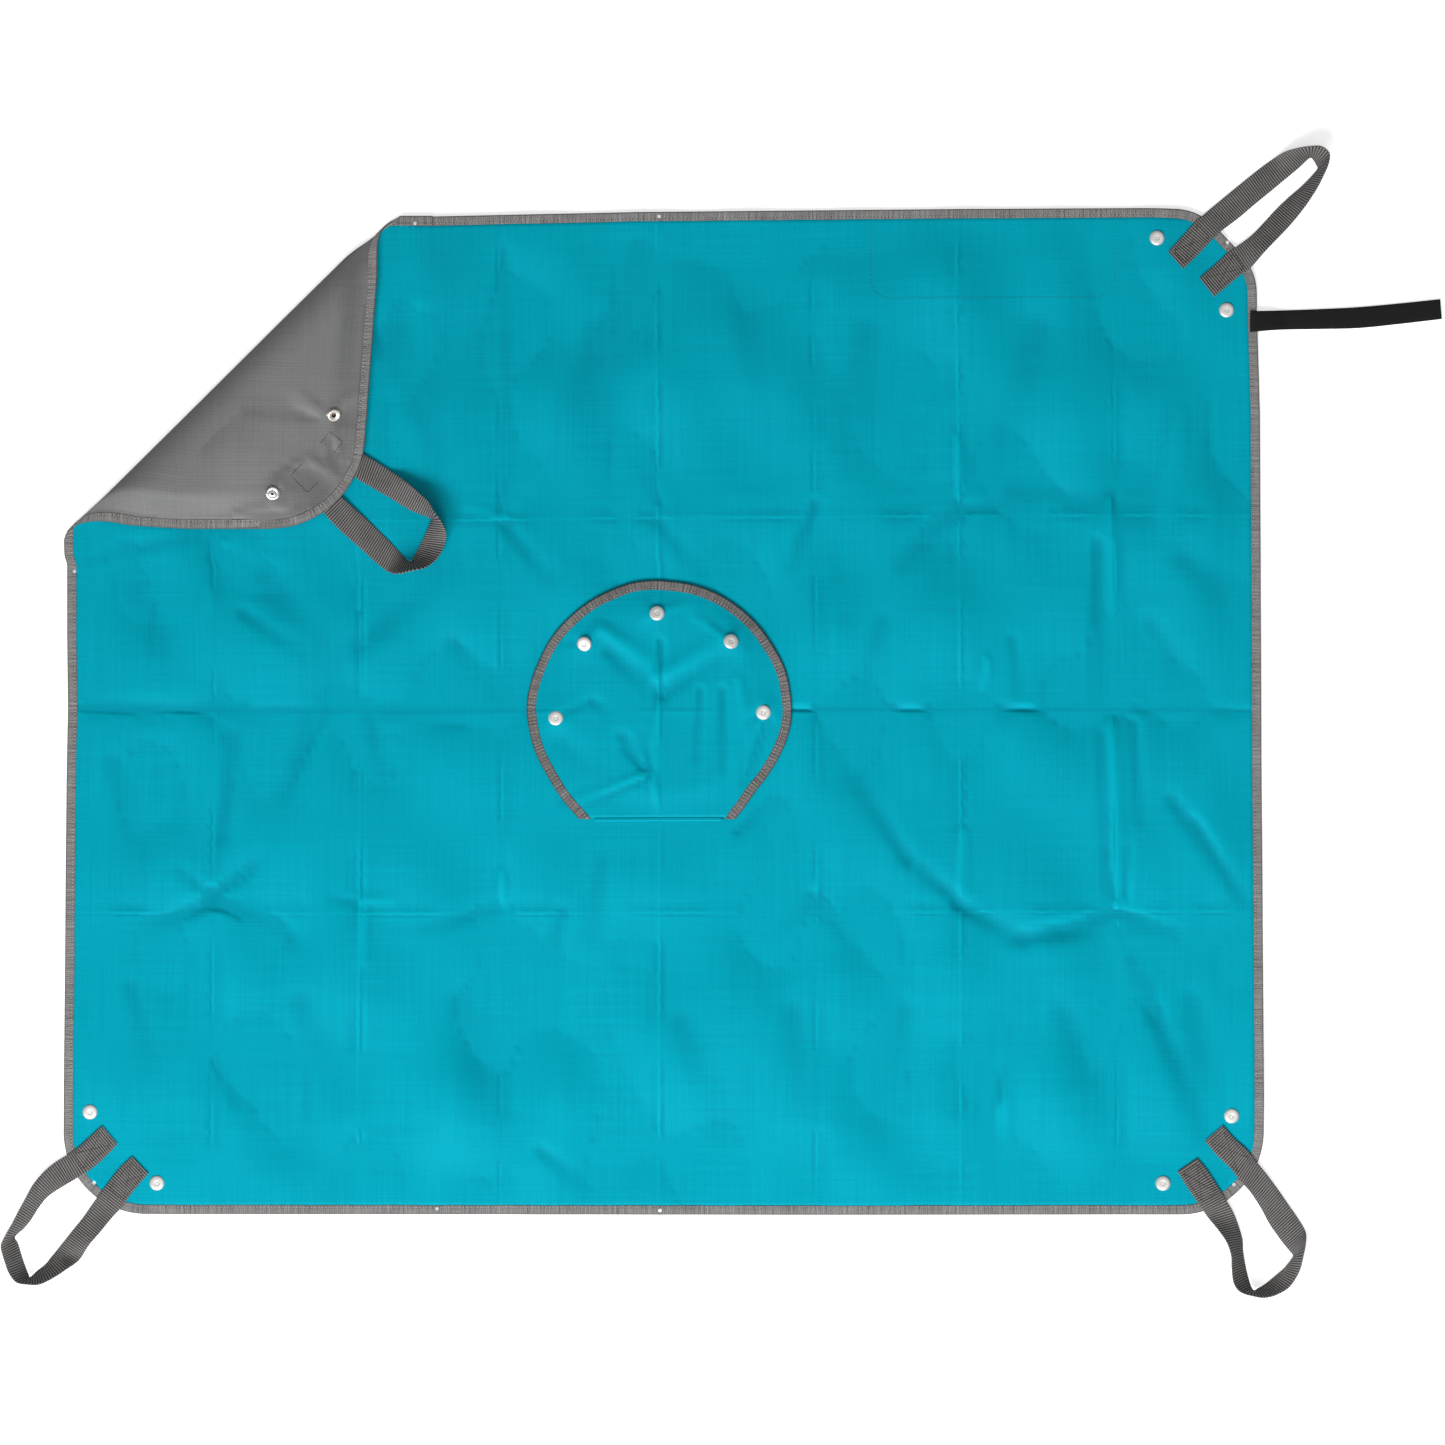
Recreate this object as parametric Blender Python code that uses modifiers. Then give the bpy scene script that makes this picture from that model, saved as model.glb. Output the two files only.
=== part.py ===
"""Repotting mat: a coated cloth with a taped edge, a snap-down flap over a bound opening,
a webbing handle at each corner and a tie strap. It lies flat with one corner folded over.

Metres, +Z up. The frame stands on the floor under the middle of the whole outline.
Corner and handle shapes are worked out on the flat mat, then the corner is folded."""

import math

import bmesh
import bpy
from mathutils import Matrix, Vector

# The cloth and the tape that binds its edges
MAT_WIDTH = 1.196
MAT_DEPTH = 1.003
CORNER_RADIUS = 0.082
CLOTH = 0.0006
TAPE = 0.0005
TAPE_WIDTH = 0.0092
FIT = 0.0003  # clearance between pieces that touch
OVERRUN = 0.01  # how far a cutter runs past what it cuts
PEG_HOLE_RADIUS = 0.0018
TOP_HOLE_SHARES = (-0.2065, -0.0025)  # along the rear edge, from the middle
BOTTOM_HOLE_SHARES = (-0.188, -0.0017)
LEFT_HOLE_SHARE = 0.1406

# The corner that is folded over
FOLD_DEPTH = 0.231  # from the sharp corner to the lower fold
FOLD_HEIGHT = 0.019  # cloth that stands up between the two folds
FOLD_SLOPE = math.radians(4.2)

# Press snaps
SNAP_HEIGHT = 0.0028  # a socket or a stud, from its cloth to its rim
SNAP_RADIUS = 0.0066
CAP_RADIUS = 0.0072
CAP_HEIGHT = 0.0022
POST_RADIUS = 0.0016
BALL_RADIUS = 0.0026
NECK_RADIUS = 0.0021
FLANGE = 0.0009
RIM = 0.0011  # the socket's wall at its mouth
BACK_RADIUS = 0.0055
BACK = 0.0012
SNAP_INSET = 0.029  # from the nearer edge
SNAP_REACH = 0.0995  # from the further edge

# The flap and the opening below it
OPENING_RADIUS = 0.082
FLAP_RADIUS = 0.1332
FLAP_CENTRE = Vector((-0.0052, -0.0014, 0))
FLAP_SNAP_CIRCLE = 0.103
FLAP_SNAPS = 5
SEAM_DROP = 0.103  # from the flap's centre down to its seam
SEAM_HALF = 0.0683
FLAP_ARC_END = math.radians(-34)
RAMP = 0.045  # the flap rises to its snaps over this distance
HEM = 0.004

# Handles, of woven webbing
WEBBING = 0.0015
WEBBING_WIDTH = 0.0234
HANDLE_SPACING = 0.048
HANDLE_REACH = 0.12
SEWN_LENGTH = 0.058
DROP_LENGTH = 0.036  # a handle comes down to the floor over this distance

# Tie strap and the patch under the rear edge
STRAP = 0.0016
STRAP_WIDTH = 0.0204
STRAP_OUT = 0.182
STRAP_DROP = 0.1105  # from the rear edge to the strap's root
STRAP_SEWN = 0.0095
PATCH_WIDTH = 0.2446
PATCH_DEPTH = 0.079
PATCH_CORNER = 0.020
PATCH_GAP = 0.1437  # from the patch to the mat's right-hand edge

DOME_SHARES = (0.5, 0.93, 0.82, 0.68, 0.28)  # radius, height, radius, height, rim height
ROOT_SHARE = 0.5
LEAD_SHARE = 0.06  # a handle leaves its sewn end straight
FOLDED_HANDLE_SLOPE = math.radians(2.2)
HINGE_RISE = FIT / 2  # a webbing hinge lies this far over the webbing
WELD = 0.00001
SHARP_ANGLE = math.radians(35)
ARC_STEPS = 10
SNAP_STEPS = 14
RING_STEPS = 36
RAMP_STEPS = 6
CURVE_STEPS = 4  # points added between two points of a webbing route

# Heights, from the floor up
CLOTH_LOW = SNAP_HEIGHT + FIT
CLOTH_TOP = CLOTH_LOW + CLOTH
TAPE_LOW = CLOTH_LOW - FIT - TAPE
TAPE_TOP = CLOTH_TOP + FIT + TAPE
WEBBING_LOW = TAPE_TOP + FIT
WEBBING_TOP = WEBBING_LOW + WEBBING
FLAP_RISE = CLOTH + FLANGE + SNAP_HEIGHT + FIT * 3  # flap cloth over mat cloth, at the snaps
SEAM_RISE = FIT * 4 + TAPE + CLOTH / 2  # flap cloth over mat cloth, at the seam

# Where each handle lies: places outward and sideways as shares of HANDLE_REACH and
# HANDLE_SPACING, then how far the webbing turns on edge as a share of a right angle.
TOP_RIGHT_SHARES = (
    (0.39, -0.36, 0), (0.68, -0.27, 0.15), (0.92, -0.20, 0.45), (1.03, 0.02, 0.68),
    (0.96, 0.27, 0.62), (0.84, 0.41, 0.40), (0.62, 0.50, 0.15), (0.36, 0.52, 0),
)
BOTTOM_RIGHT_SHARES = (
    (0.27, -0.43, 0), (0.48, -0.30, 0.1), (0.68, -0.20, 0.3), (0.81, 0.02, 0.5),
    (0.87, 0.38, 0.4), (0.87, 0.80, 0.4), (0.76, 1.18, 0.6), (0.60, 1.21, 0.45),
    (0.49, 1.02, 0.25), (0.37, 0.82, 0.1), (0.22, 0.65, 0),
)
BOTTOM_LEFT_SHARES = (
    (0.22, -0.58, 0), (0.43, -0.60, 0.05), (0.66, -0.50, 0.3), (0.86, -0.31, 0.55),
    (0.96, 0.00, 0.6), (0.97, 0.33, 0.45), (0.81, 0.61, 0.2), (0.62, 0.64, 0.1),
    (0.40, 0.58, 0), (0.20, 0.55, 0),
)
TOP_LEFT_SHARES = (
    (0.16, -0.48, 0), (0.44, -0.45, 0), (0.69, -0.40, 0), (0.85, -0.16, 0),
    (0.87, 0.27, 0), (0.80, 0.60, 0), (0.68, 0.76, 0), (0.50, 0.77, 0),
    (0.32, 0.69, 0), (0.14, 0.58, 0),
)
# Along the strap, then across it in strap widths
STRAP_SHARES = ((0.15, -0.06), (0.35, 0.02), (0.54, 0.10), (0.76, 0.32), (1.0, 0.54))

CORNERS = {
    "top_right": (1, 1),
    "bottom_right": (1, -1),
    "bottom_left": (-1, -1),
    "top_left": (-1, 1),
}
HANDLE_SHARES = {
    "top_right": TOP_RIGHT_SHARES,
    "bottom_right": BOTTOM_RIGHT_SHARES,
    "bottom_left": BOTTOM_LEFT_SHARES,
    "top_left": TOP_LEFT_SHARES,
}
FOLDED = "top_left"

DIAGONAL = math.sqrt(0.5)
FOLD_OUT = Vector((-DIAGONAL, DIAGONAL, 0))
FOLD_PLACE = (MAT_WIDTH + MAT_DEPTH) / 2 * DIAGONAL - FOLD_DEPTH
FOLD_ANGLE = math.radians(45)
FOLD_CUTS = {
    "mat": (-MAT_WIDTH, FOLD_PLACE - FIT),
    "strip": (FOLD_PLACE + FIT, FOLD_PLACE + FOLD_HEIGHT - FIT),
    "corner": (FOLD_PLACE + FOLD_HEIGHT + FIT, MAT_WIDTH),
}


def clear_scene():
    for thing in list(bpy.data.objects):
        bpy.data.objects.remove(thing)


def new_material(name, colour, roughness, metallic):
    made = bpy.data.materials.new(name)
    made.use_nodes = True
    shader = made.node_tree.nodes["Principled BSDF"]
    shader.inputs["Base Color"].default_value = (*colour, 1)
    shader.inputs["Roughness"].default_value = roughness
    shader.inputs["Metallic"].default_value = metallic
    return made


def new_collection(name, shown):
    made = bpy.data.collections.new(name)
    made.hide_render = not shown
    bpy.context.scene.collection.children.link(made)
    return made


def add_object(name, data, material=None):
    """A new piece of the mat, in its collection."""
    made = bpy.data.objects.new(name, data)
    pieces.objects.link(made)
    if material:
        data.materials.append(material)
    return made


def add_pivot(name, place, turn, parent):
    """An empty on a joint's axis. Its own X axis is the joint's."""
    pivot = add_object(name, None)
    pivot.location = place
    pivot.rotation_euler.z = turn
    bpy.context.view_layer.update()
    carry(pivot, parent)
    return pivot


def carry(piece, pivot):
    """Parents a piece where it stands."""
    bpy.context.view_layer.update()
    piece.parent = pivot
    piece.matrix_parent_inverse = pivot.matrix_world.inverted()


def shade(piece):
    piece.data.shade_smooth()
    piece.data.set_sharp_from_angle(angle=SHARP_ANGLE)


def poly_curve(name, splines, closed, flat):
    """A curve object of straight-sided splines, each a list of (point, tilt)."""
    curve = bpy.data.curves.new(name, "CURVE")
    curve.dimensions = "2D" if flat else "3D"
    for points in splines:
        spline = curve.splines.new("POLY")
        spline.points.add(len(points) - 1)
        spline.use_cyclic_u = closed
        for made, (place, tilt) in zip(spline.points, points):
            made.co = (*place, 1)
            made.tilt = tilt
    return curve


def untilted(points):
    return [(point, 0) for point in points]


def as_mesh(piece):
    """The piece as a welded mesh object, ready to be cut."""
    bpy.context.view_layer.update()
    graph = bpy.context.evaluated_depsgraph_get()
    data = bpy.data.meshes.new_from_object(piece.evaluated_get(graph))
    shape = bmesh.new()
    shape.from_mesh(data)
    bmesh.ops.remove_doubles(shape, verts=shape.verts, dist=WELD)
    bmesh.ops.recalc_face_normals(shape, faces=shape.faces)
    shape.to_mesh(data)
    shape.free()
    name, place = piece.name, piece.matrix_world.copy()
    bpy.data.objects.remove(piece)
    made = add_object(name, data)
    made.matrix_world = place
    return made


def flat_piece(name, outlines, low, thickness, material):
    """A flat sheet from its outline and the outlines of its holes."""
    curve = poly_curve(name, [untilted(points) for points in outlines], True, True)
    curve.fill_mode = "BOTH"
    curve.extrude = thickness / 2
    piece = add_object(name, curve, material)
    piece.location.z = low + thickness / 2
    return as_mesh(piece)


def swept_piece(name, path, section, material):
    """A closed section swept along a path of (point, tilt). Section x is to the right."""
    profile = bpy.data.objects.new(
        name + "_section", poly_curve(name + "_section", [untilted(section)], True, True)
    )
    cutters.objects.link(profile)
    curve = poly_curve(name, [path], False, False)
    curve.twist_mode = "Z_UP"
    curve.bevel_mode = "OBJECT"
    curve.bevel_object = profile
    curve.use_fill_caps = True
    piece = as_mesh(add_object(name, curve, material))
    bpy.data.objects.remove(profile)
    return piece


def turned_piece(name, profile, place, steps, material, closed=False):
    """A profile of (radius, height), top to bottom on its outer side, turned about Z."""
    data = bpy.data.meshes.new(name)
    last = len(profile) - 1
    edges = [(i, i + 1) for i in range(last)] + ([(last, 0)] if closed else [])
    data.from_pydata([(radius, 0, height) for radius, height in profile], edges, [])
    piece = add_object(name, data, material)
    piece.location = place
    turn = piece.modifiers.new("turn", "SCREW")
    turn.steps = steps
    turn.render_steps = steps
    turn.use_merge_vertices = True
    turn.merge_threshold = WELD
    turn.use_smooth_shade = True
    return piece


def box_piece(name, centre, size, turn, material):
    shape = bmesh.new()
    bmesh.ops.create_cube(shape, size=1)
    bmesh.ops.scale(shape, vec=size, verts=shape.verts)
    data = bpy.data.meshes.new(name)
    shape.to_mesh(data)
    shape.free()
    piece = add_object(name, data, material)
    piece.location = centre
    piece.rotation_euler.z = turn
    return piece


def cut(piece, cutter, operation="DIFFERENCE"):
    knife = piece.modifiers.new("cut", "BOOLEAN")
    knife.operation = operation
    knife.object = cutter


def as_cutter(piece):
    pieces.objects.unlink(piece)
    cutters.objects.link(piece)
    piece.hide_render = True
    piece.display_type = "WIRE"
    return piece


def drill(name, places, radius):
    """One cutter of upright holes."""
    shape = bmesh.new()
    for place in places:
        bmesh.ops.create_cone(
            shape, cap_ends=True, segments=SNAP_STEPS, radius1=radius, radius2=radius,
            depth=OVERRUN * 2, matrix=Matrix.Translation((place[0], place[1], 0)),
        )
    data = bpy.data.meshes.new(name)
    shape.to_mesh(data)
    shape.free()
    return as_cutter(add_object(name, data))


def arc(centre, radius, start, end, steps):
    """Points of an arc, both ends included."""
    turns = [start + (end - start) * i / steps for i in range(steps + 1)]
    return [centre + radius * Vector((math.cos(t), math.sin(t), 0)) for t in turns]


def circle(centre, radius, steps):
    return arc(centre, radius, 0, math.tau, steps)[:-1]


def corner_arc(corner, inset):
    """The rounded corner of the mat, clockwise, this far inside its edge."""
    side_x, side_y = CORNERS[corner]
    centre = corner_centre(corner)
    middle = math.atan2(side_y, side_x)
    quarter = math.radians(45)
    return arc(centre, CORNER_RADIUS - inset, middle + quarter, middle - quarter, ARC_STEPS)


def corner_centre(corner):
    side_x, side_y = CORNERS[corner]
    return Vector((
        side_x * (MAT_WIDTH / 2 - CORNER_RADIUS), side_y * (MAT_DEPTH / 2 - CORNER_RADIUS), 0
    ))


def outward(corner):
    return Vector((*CORNERS[corner], 0)) * DIAGONAL


def sideways(corner):
    """Clockwise across the corner, so that a handle lifts about it."""
    out = outward(corner)
    return Vector((out.y, -out.x, 0))


def at_corner(corner, out, side, height=0):
    """A place from the middle of the corner's arc."""
    return corner_centre(corner) + outward(corner) * out + sideways(corner) * side + Vector((0, 0, height))


def fold_ends(place, inset):
    """Where a line across the folded corner meets the left and the rear edge."""
    reach = place / DIAGONAL
    half_width, half_depth = MAT_WIDTH / 2 - inset, MAT_DEPTH / 2 - inset
    return (
        Vector((-half_width, reach - half_width, 0)),
        Vector((half_depth - reach, half_depth, 0)),
    )


def cloth_outline(part):
    """The outline of one part of the cloth, clockwise, inside the tape."""
    inset = TAPE + FIT
    low, high = FOLD_CUTS[part]
    if part == "mat":
        left, rear = fold_ends(high, inset)
        round_way = [rear]
        for corner in ("top_right", "bottom_right", "bottom_left"):
            round_way += corner_arc(corner, inset)
        return round_way + [left]
    left, rear = fold_ends(low, inset)
    if part == "corner":
        return [left] + corner_arc(FOLDED, inset) + [rear]
    far_left, far_rear = fold_ends(high, inset)
    return [left, far_left, far_rear, rear]


def tape_section():
    """A U that opens to the right, round a cloth edge."""
    low, high = TAPE_LOW - CLOTH_LOW - CLOTH / 2, TAPE_TOP - CLOTH_LOW - CLOTH / 2
    return [
        (0, low, 0), (0, high, 0), (TAPE_WIDTH, high, 0), (TAPE_WIDTH, high - TAPE, 0),
        (TAPE, high - TAPE, 0), (TAPE, low + TAPE, 0), (TAPE_WIDTH, low + TAPE, 0),
        (TAPE_WIDTH, low, 0),
    ]


def raised(points, height):
    return [(point + Vector((0, 0, height)), 0) for point in points]


def smooth_route(route):
    """Points and tilts between the route's own, on a smooth curve through them."""
    made = []
    ends = [route[0]] + list(route) + [route[-1]]
    for i in range(1, len(ends) - 2):
        for step in range(CURVE_STEPS):
            t = step / CURVE_STEPS
            weights = (
                (-t + 2 * t**2 - t**3) / 2, (2 - 5 * t**2 + 3 * t**3) / 2,
                (t + 4 * t**2 - 3 * t**3) / 2, (t**3 - t**2) / 2,
            )
            near = ends[i - 1 : i + 3]
            place = sum((w * p for w, (p, _) in zip(weights, near)), Vector((0, 0, 0)))
            made.append((place, near[1][1] + (near[2][1] - near[1][1]) * t))
    return made + [route[-1]]


def ease(share):
    share = min(max(share, 0), 1)
    return share * share * (3 - 2 * share)


def cap_profile():
    """A domed cap on the cloth, with its post."""
    post_end = -(FIT + CLOTH)
    return [
        (0, CAP_HEIGHT), (CAP_RADIUS * DOME_SHARES[0], CAP_HEIGHT * DOME_SHARES[1]),
        (CAP_RADIUS * DOME_SHARES[2], CAP_HEIGHT * DOME_SHARES[3]),
        (CAP_RADIUS, CAP_HEIGHT * DOME_SHARES[4]), (CAP_RADIUS, 0), (POST_RADIUS, 0),
        (POST_RADIUS, post_end), (0, post_end),
    ]


def socket_profile():
    """A socket below its cloth, open downwards, from its rim at 0."""
    mouth = BALL_RADIUS + FIT
    return [
        (0, SNAP_HEIGHT), (SNAP_RADIUS - RIM, SNAP_HEIGHT), (SNAP_RADIUS, SNAP_HEIGHT - RIM / 2),
        (SNAP_RADIUS, RIM / 2), (SNAP_RADIUS - RIM, 0), (mouth + RIM, 0), (mouth, RIM / 2),
        (mouth, SNAP_HEIGHT - FLANGE), (0, SNAP_HEIGHT - FLANGE),
    ]


def ball_profile():
    """A stud's ball and neck above its flange, which stands on 0."""
    top = SNAP_HEIGHT
    return [
        (0, top), (NECK_RADIUS, top), (BALL_RADIUS, top - NECK_RADIUS / 4),
        (BALL_RADIUS, top - NECK_RADIUS / 2), (NECK_RADIUS, FLANGE + FIT),
        (NECK_RADIUS, FLANGE), (SNAP_RADIUS - RIM, FLANGE), (SNAP_RADIUS, FLANGE / 2),
        (SNAP_RADIUS, 0),
    ]


def stud_profile():
    """A stud below its cloth, ball downwards, from its tip at 0."""
    upright = [(0, 0)] + ball_profile()[::-1]
    return [(radius, SNAP_HEIGHT - height) for radius, height in upright]


def opening_stud_profile():
    """A stud on the mat's top, its post through the cloth and its back below."""
    back_top = -(FIT + CLOTH + FIT)
    return ball_profile() + [
        (POST_RADIUS, 0), (POST_RADIUS, back_top), (BACK_RADIUS, back_top),
        (BACK_RADIUS, back_top - BACK), (0, back_top - BACK),
    ]


def snap_places(corner):
    """The two snaps of a corner: on its long edge, then on its short edge."""
    side_x, side_y = CORNERS[corner]
    half_width, half_depth = MAT_WIDTH / 2, MAT_DEPTH / 2
    return (
        Vector((side_x * (half_width - SNAP_REACH), side_y * (half_depth - SNAP_INSET), 0)),
        Vector((side_x * (half_width - SNAP_INSET), side_y * (half_depth - SNAP_REACH), 0)),
    )


def flap_snap_places():
    turns = [math.pi * i / (FLAP_SNAPS - 1) for i in range(FLAP_SNAPS)]
    return [
        FLAP_CENTRE + FLAP_SNAP_CIRCLE * Vector((math.cos(t), math.sin(t), 0)) for t in turns
    ]


def peg_hole_places():
    """Small holes punched through the tape and the cloth."""
    middle = TAPE_WIDTH / 2
    rear = MAT_DEPTH / 2 - middle
    places = [Vector((share * MAT_WIDTH, rear, 0)) for share in TOP_HOLE_SHARES]
    places += [Vector((share * MAT_WIDTH, -rear, 0)) for share in BOTTOM_HOLE_SHARES]
    places += [Vector((middle - MAT_WIDTH / 2, LEFT_HOLE_SHARE * MAT_DEPTH, 0))]
    places += [at_corner(corner, CORNER_RADIUS - middle, 0) for corner in CORNERS]
    return places


def make_cloth(materials):
    """The mat's cloth in its three parts, each cut for the posts and the peg holes."""
    post_holes = [place for corner in CORNERS for place in snap_places(corner)]
    post_holes += flap_snap_places()
    folded = snap_places(FOLDED)
    made = {}
    for part, name in (("mat", "mat_cloth"), ("strip", "fold_cloth"), ("corner", "corner_cloth")):
        outlines = [cloth_outline(part)]
        if part == "mat":
            outlines.append(circle(FLAP_CENTRE, OPENING_RADIUS + TAPE + FIT, RING_STEPS))
        holes = [p for p in post_holes if (p in folded) == (part == "corner")]
        if part != "strip":
            outlines += [circle(p, POST_RADIUS + FIT, SNAP_STEPS // 2) for p in holes]
        made[part] = flat_piece(name, outlines, CLOTH_LOW, CLOTH, materials["cloth"])
    return made


def make_edge_tape(materials):
    """The tape round the whole edge, one run clockwise, cut at the two folds."""
    left, rear = fold_ends(FOLD_PLACE - TAPE_WIDTH * 2, 0)
    far_left, far_rear = fold_ends(FOLD_PLACE + FOLD_HEIGHT + TAPE_WIDTH * 2, 0)
    middle = CLOTH_LOW + CLOTH / 2
    runs = {
        "mat": [far_rear] + corner_arc("top_right", 0) + corner_arc("bottom_right", 0)
        + corner_arc("bottom_left", 0) + [far_left],
        "corner": [left] + corner_arc(FOLDED, 0) + [rear],
        "strip_left": [left, far_left],
        "strip_rear": [far_rear, rear],
    }
    names = {
        "mat": "edge_tape", "corner": "corner_tape",
        "strip_left": "fold_tape_left", "strip_rear": "fold_tape_rear",
    }
    made = {}
    for part, points in runs.items():
        tape = swept_piece(names[part], raised(points, middle), tape_section(), materials["tape"])
        made[part] = tape
    return made


def fold_cutter(part):
    """A box over the stretch of one part, square to the folds."""
    low, high = FOLD_CUTS[part]
    centre = FOLD_OUT * (low + high) / 2
    size = (MAT_WIDTH * 2, high - low, MAT_WIDTH)
    return as_cutter(box_piece("cut_" + part, centre, size, FOLD_ANGLE, None))


def flap_height(point):
    """The middle of the flap's cloth over a place, rising from the seam to the snaps."""
    rise = SEAM_RISE + (FLAP_RISE - SEAM_RISE) * ease((point.y - seam_line()) / RAMP)
    return CLOTH_LOW + CLOTH / 2 + rise


def seam_line():
    return FLAP_CENTRE.y - SEAM_DROP


def flap_edge(inset):
    """The flap's outline from the seam's left end round to its right end, clockwise."""
    start = seam_line() + FIT
    corner = Vector((SEAM_HALF - inset * 2, start - FLAP_CENTRE.y, 0))
    round_way = arc(
        FLAP_CENTRE, FLAP_RADIUS - inset, math.pi - FLAP_ARC_END, FLAP_ARC_END, ARC_STEPS * 3
    )
    return (
        [FLAP_CENTRE + Vector((-corner.x, corner.y, 0))] + round_way + [FLAP_CENTRE + corner]
    )


def lift_from_seam(piece):
    """Bends a flat piece of the flap up from the seam to the height of the snaps."""
    shape = bmesh.new()
    shape.from_mesh(piece.data)
    for i in range(1, RAMP_STEPS + 1):
        line = seam_line() + RAMP * i / RAMP_STEPS
        everything = shape.verts[:] + shape.edges[:] + shape.faces[:]
        bmesh.ops.bisect_plane(shape, geom=everything, plane_co=(0, line, 0), plane_no=(0, 1, 0))
    for vertex in shape.verts:
        vertex.co.z += flap_height(vertex.co)
    shape.to_mesh(piece.data)
    shape.free()


def make_flap(materials, pivot):
    """The flap's cloth, its tape, and the snaps that hold it shut."""
    cloth = flat_piece("flap_cloth", [flap_edge(TAPE + FIT)], -CLOTH / 2, CLOTH, materials["cloth"])
    tape = swept_piece("flap_tape", untilted(flap_edge(0)), tape_section(), materials["tape"])
    for piece in (cloth, tape):
        lift_from_seam(piece)
    cut(cloth, drill("cut_flap_posts", flap_snap_places(), POST_RADIUS + FIT))
    made = [cloth, tape]
    rim = CLOTH_TOP + FIT + FLANGE + FIT
    for i, place in enumerate(flap_snap_places(), 1):
        above = place + Vector((0, 0, CLOTH_TOP + FLAP_RISE + FIT))
        below = place + Vector((0, 0, rim))
        made.append(turned_piece(f"flap_cap_{i}", cap_profile(), above, SNAP_STEPS, materials["cap"]))
        made.append(
            turned_piece(f"flap_socket_{i}", socket_profile(), below, SNAP_STEPS, materials["socket"])
        )
    for piece in made:
        carry(piece, pivot)


def make_opening(materials):
    """The tape round the opening, the studs beside it and the flap's hem on the mat."""
    middle = CLOTH_LOW + CLOTH / 2
    section = [(OPENING_RADIUS + x, y) for x, y, _ in tape_section()]
    turned_piece(
        "opening_tape", section, FLAP_CENTRE + Vector((0, 0, middle)), RING_STEPS,
        materials["tape"], closed=True,
    )
    for i, place in enumerate(flap_snap_places(), 1):
        base = place + Vector((0, 0, CLOTH_TOP + FIT))
        turned_piece(f"opening_stud_{i}", opening_stud_profile(), base, SNAP_STEPS, materials["stud"])
    size = (SEAM_HALF * 2 - TAPE_WIDTH, HEM, CLOTH)
    centre = Vector((FLAP_CENTRE.x, seam_line() - FIT - HEM / 2, CLOTH_TOP + FIT + CLOTH / 2))
    box_piece("flap_hem", centre, size, 0, materials["cloth"])


def make_corner_snaps(corner, materials):
    """Caps on the cloth; a socket below one and a stud below the other."""
    made = []
    kinds = (("long", "socket", socket_profile()), ("short", "stud", stud_profile()))
    for place, (edge, kind, profile) in zip(snap_places(corner), kinds):
        above = place + Vector((0, 0, CLOTH_TOP + FIT))
        name = f"{corner}_{edge}_side"
        made.append(turned_piece(f"{name}_cap", cap_profile(), above, SNAP_STEPS, materials["cap"]))
        made.append(turned_piece(f"{name}_{kind}", profile, place, SNAP_STEPS, materials[kind]))
    return made


def make_sewn_ends(corner, materials):
    """Two webbing ends, sewn down over the tape as far as the handle's hinge line."""
    made = []
    for i, side in enumerate((-HANDLE_SPACING / 2, HANDLE_SPACING / 2), 1):
        middle = CORNER_RADIUS - SEWN_LENGTH / 2
        centre = at_corner(corner, middle, side, (WEBBING_LOW + WEBBING_TOP) / 2)
        out = outward(corner)
        size = (SEWN_LENGTH, WEBBING_WIDTH, WEBBING)
        made.append(box_piece(
            f"{corner}_handle_end_{i}", centre, size, math.atan2(out.y, out.x), materials["webbing"]
        ))
    return made


def handle_height(corner, out, on_edge):
    """The middle of the webbing's width: down from the tape, then on the floor."""
    root = (WEBBING_LOW + WEBBING_TOP) / 2
    if corner == FOLDED:
        return root - out * math.tan(FOLDED_HANDLE_SLOPE)
    floor = WEBBING_WIDTH / 2 * math.sin(on_edge) + WEBBING / 2 * math.cos(on_edge) + FIT * 3
    return root + (floor - root) * ease(out / DROP_LENGTH)


def make_handle(corner, materials):
    """The free loop of one handle, from one root round to the other."""
    root = CORNER_RADIUS + FIT * 2
    starts = ((0, -ROOT_SHARE, 0), (LEAD_SHARE, -ROOT_SHARE, 0))
    ends = ((LEAD_SHARE, ROOT_SHARE, 0), (0, ROOT_SHARE, 0))
    shares = starts + HANDLE_SHARES[corner] + ends
    route = []
    for out_share, side_share, turn_share in shares:
        on_edge = turn_share * math.pi / 2
        out = out_share * HANDLE_REACH
        height = handle_height(corner, out, on_edge)
        place = at_corner(corner, root + out, side_share * HANDLE_SPACING, height)
        route.append((place, on_edge))
    half_width, half = WEBBING_WIDTH / 2, WEBBING / 2
    section = [
        (-half_width, -half, 0), (-half_width, half, 0), (half_width, half, 0), (half_width, -half, 0)
    ]
    path = route[:1] + smooth_route(route[1:-1]) + route[-1:]
    return swept_piece(f"{corner}_handle", path, section, materials["webbing"])


def strap_line():
    return MAT_DEPTH / 2 - STRAP_DROP


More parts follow.
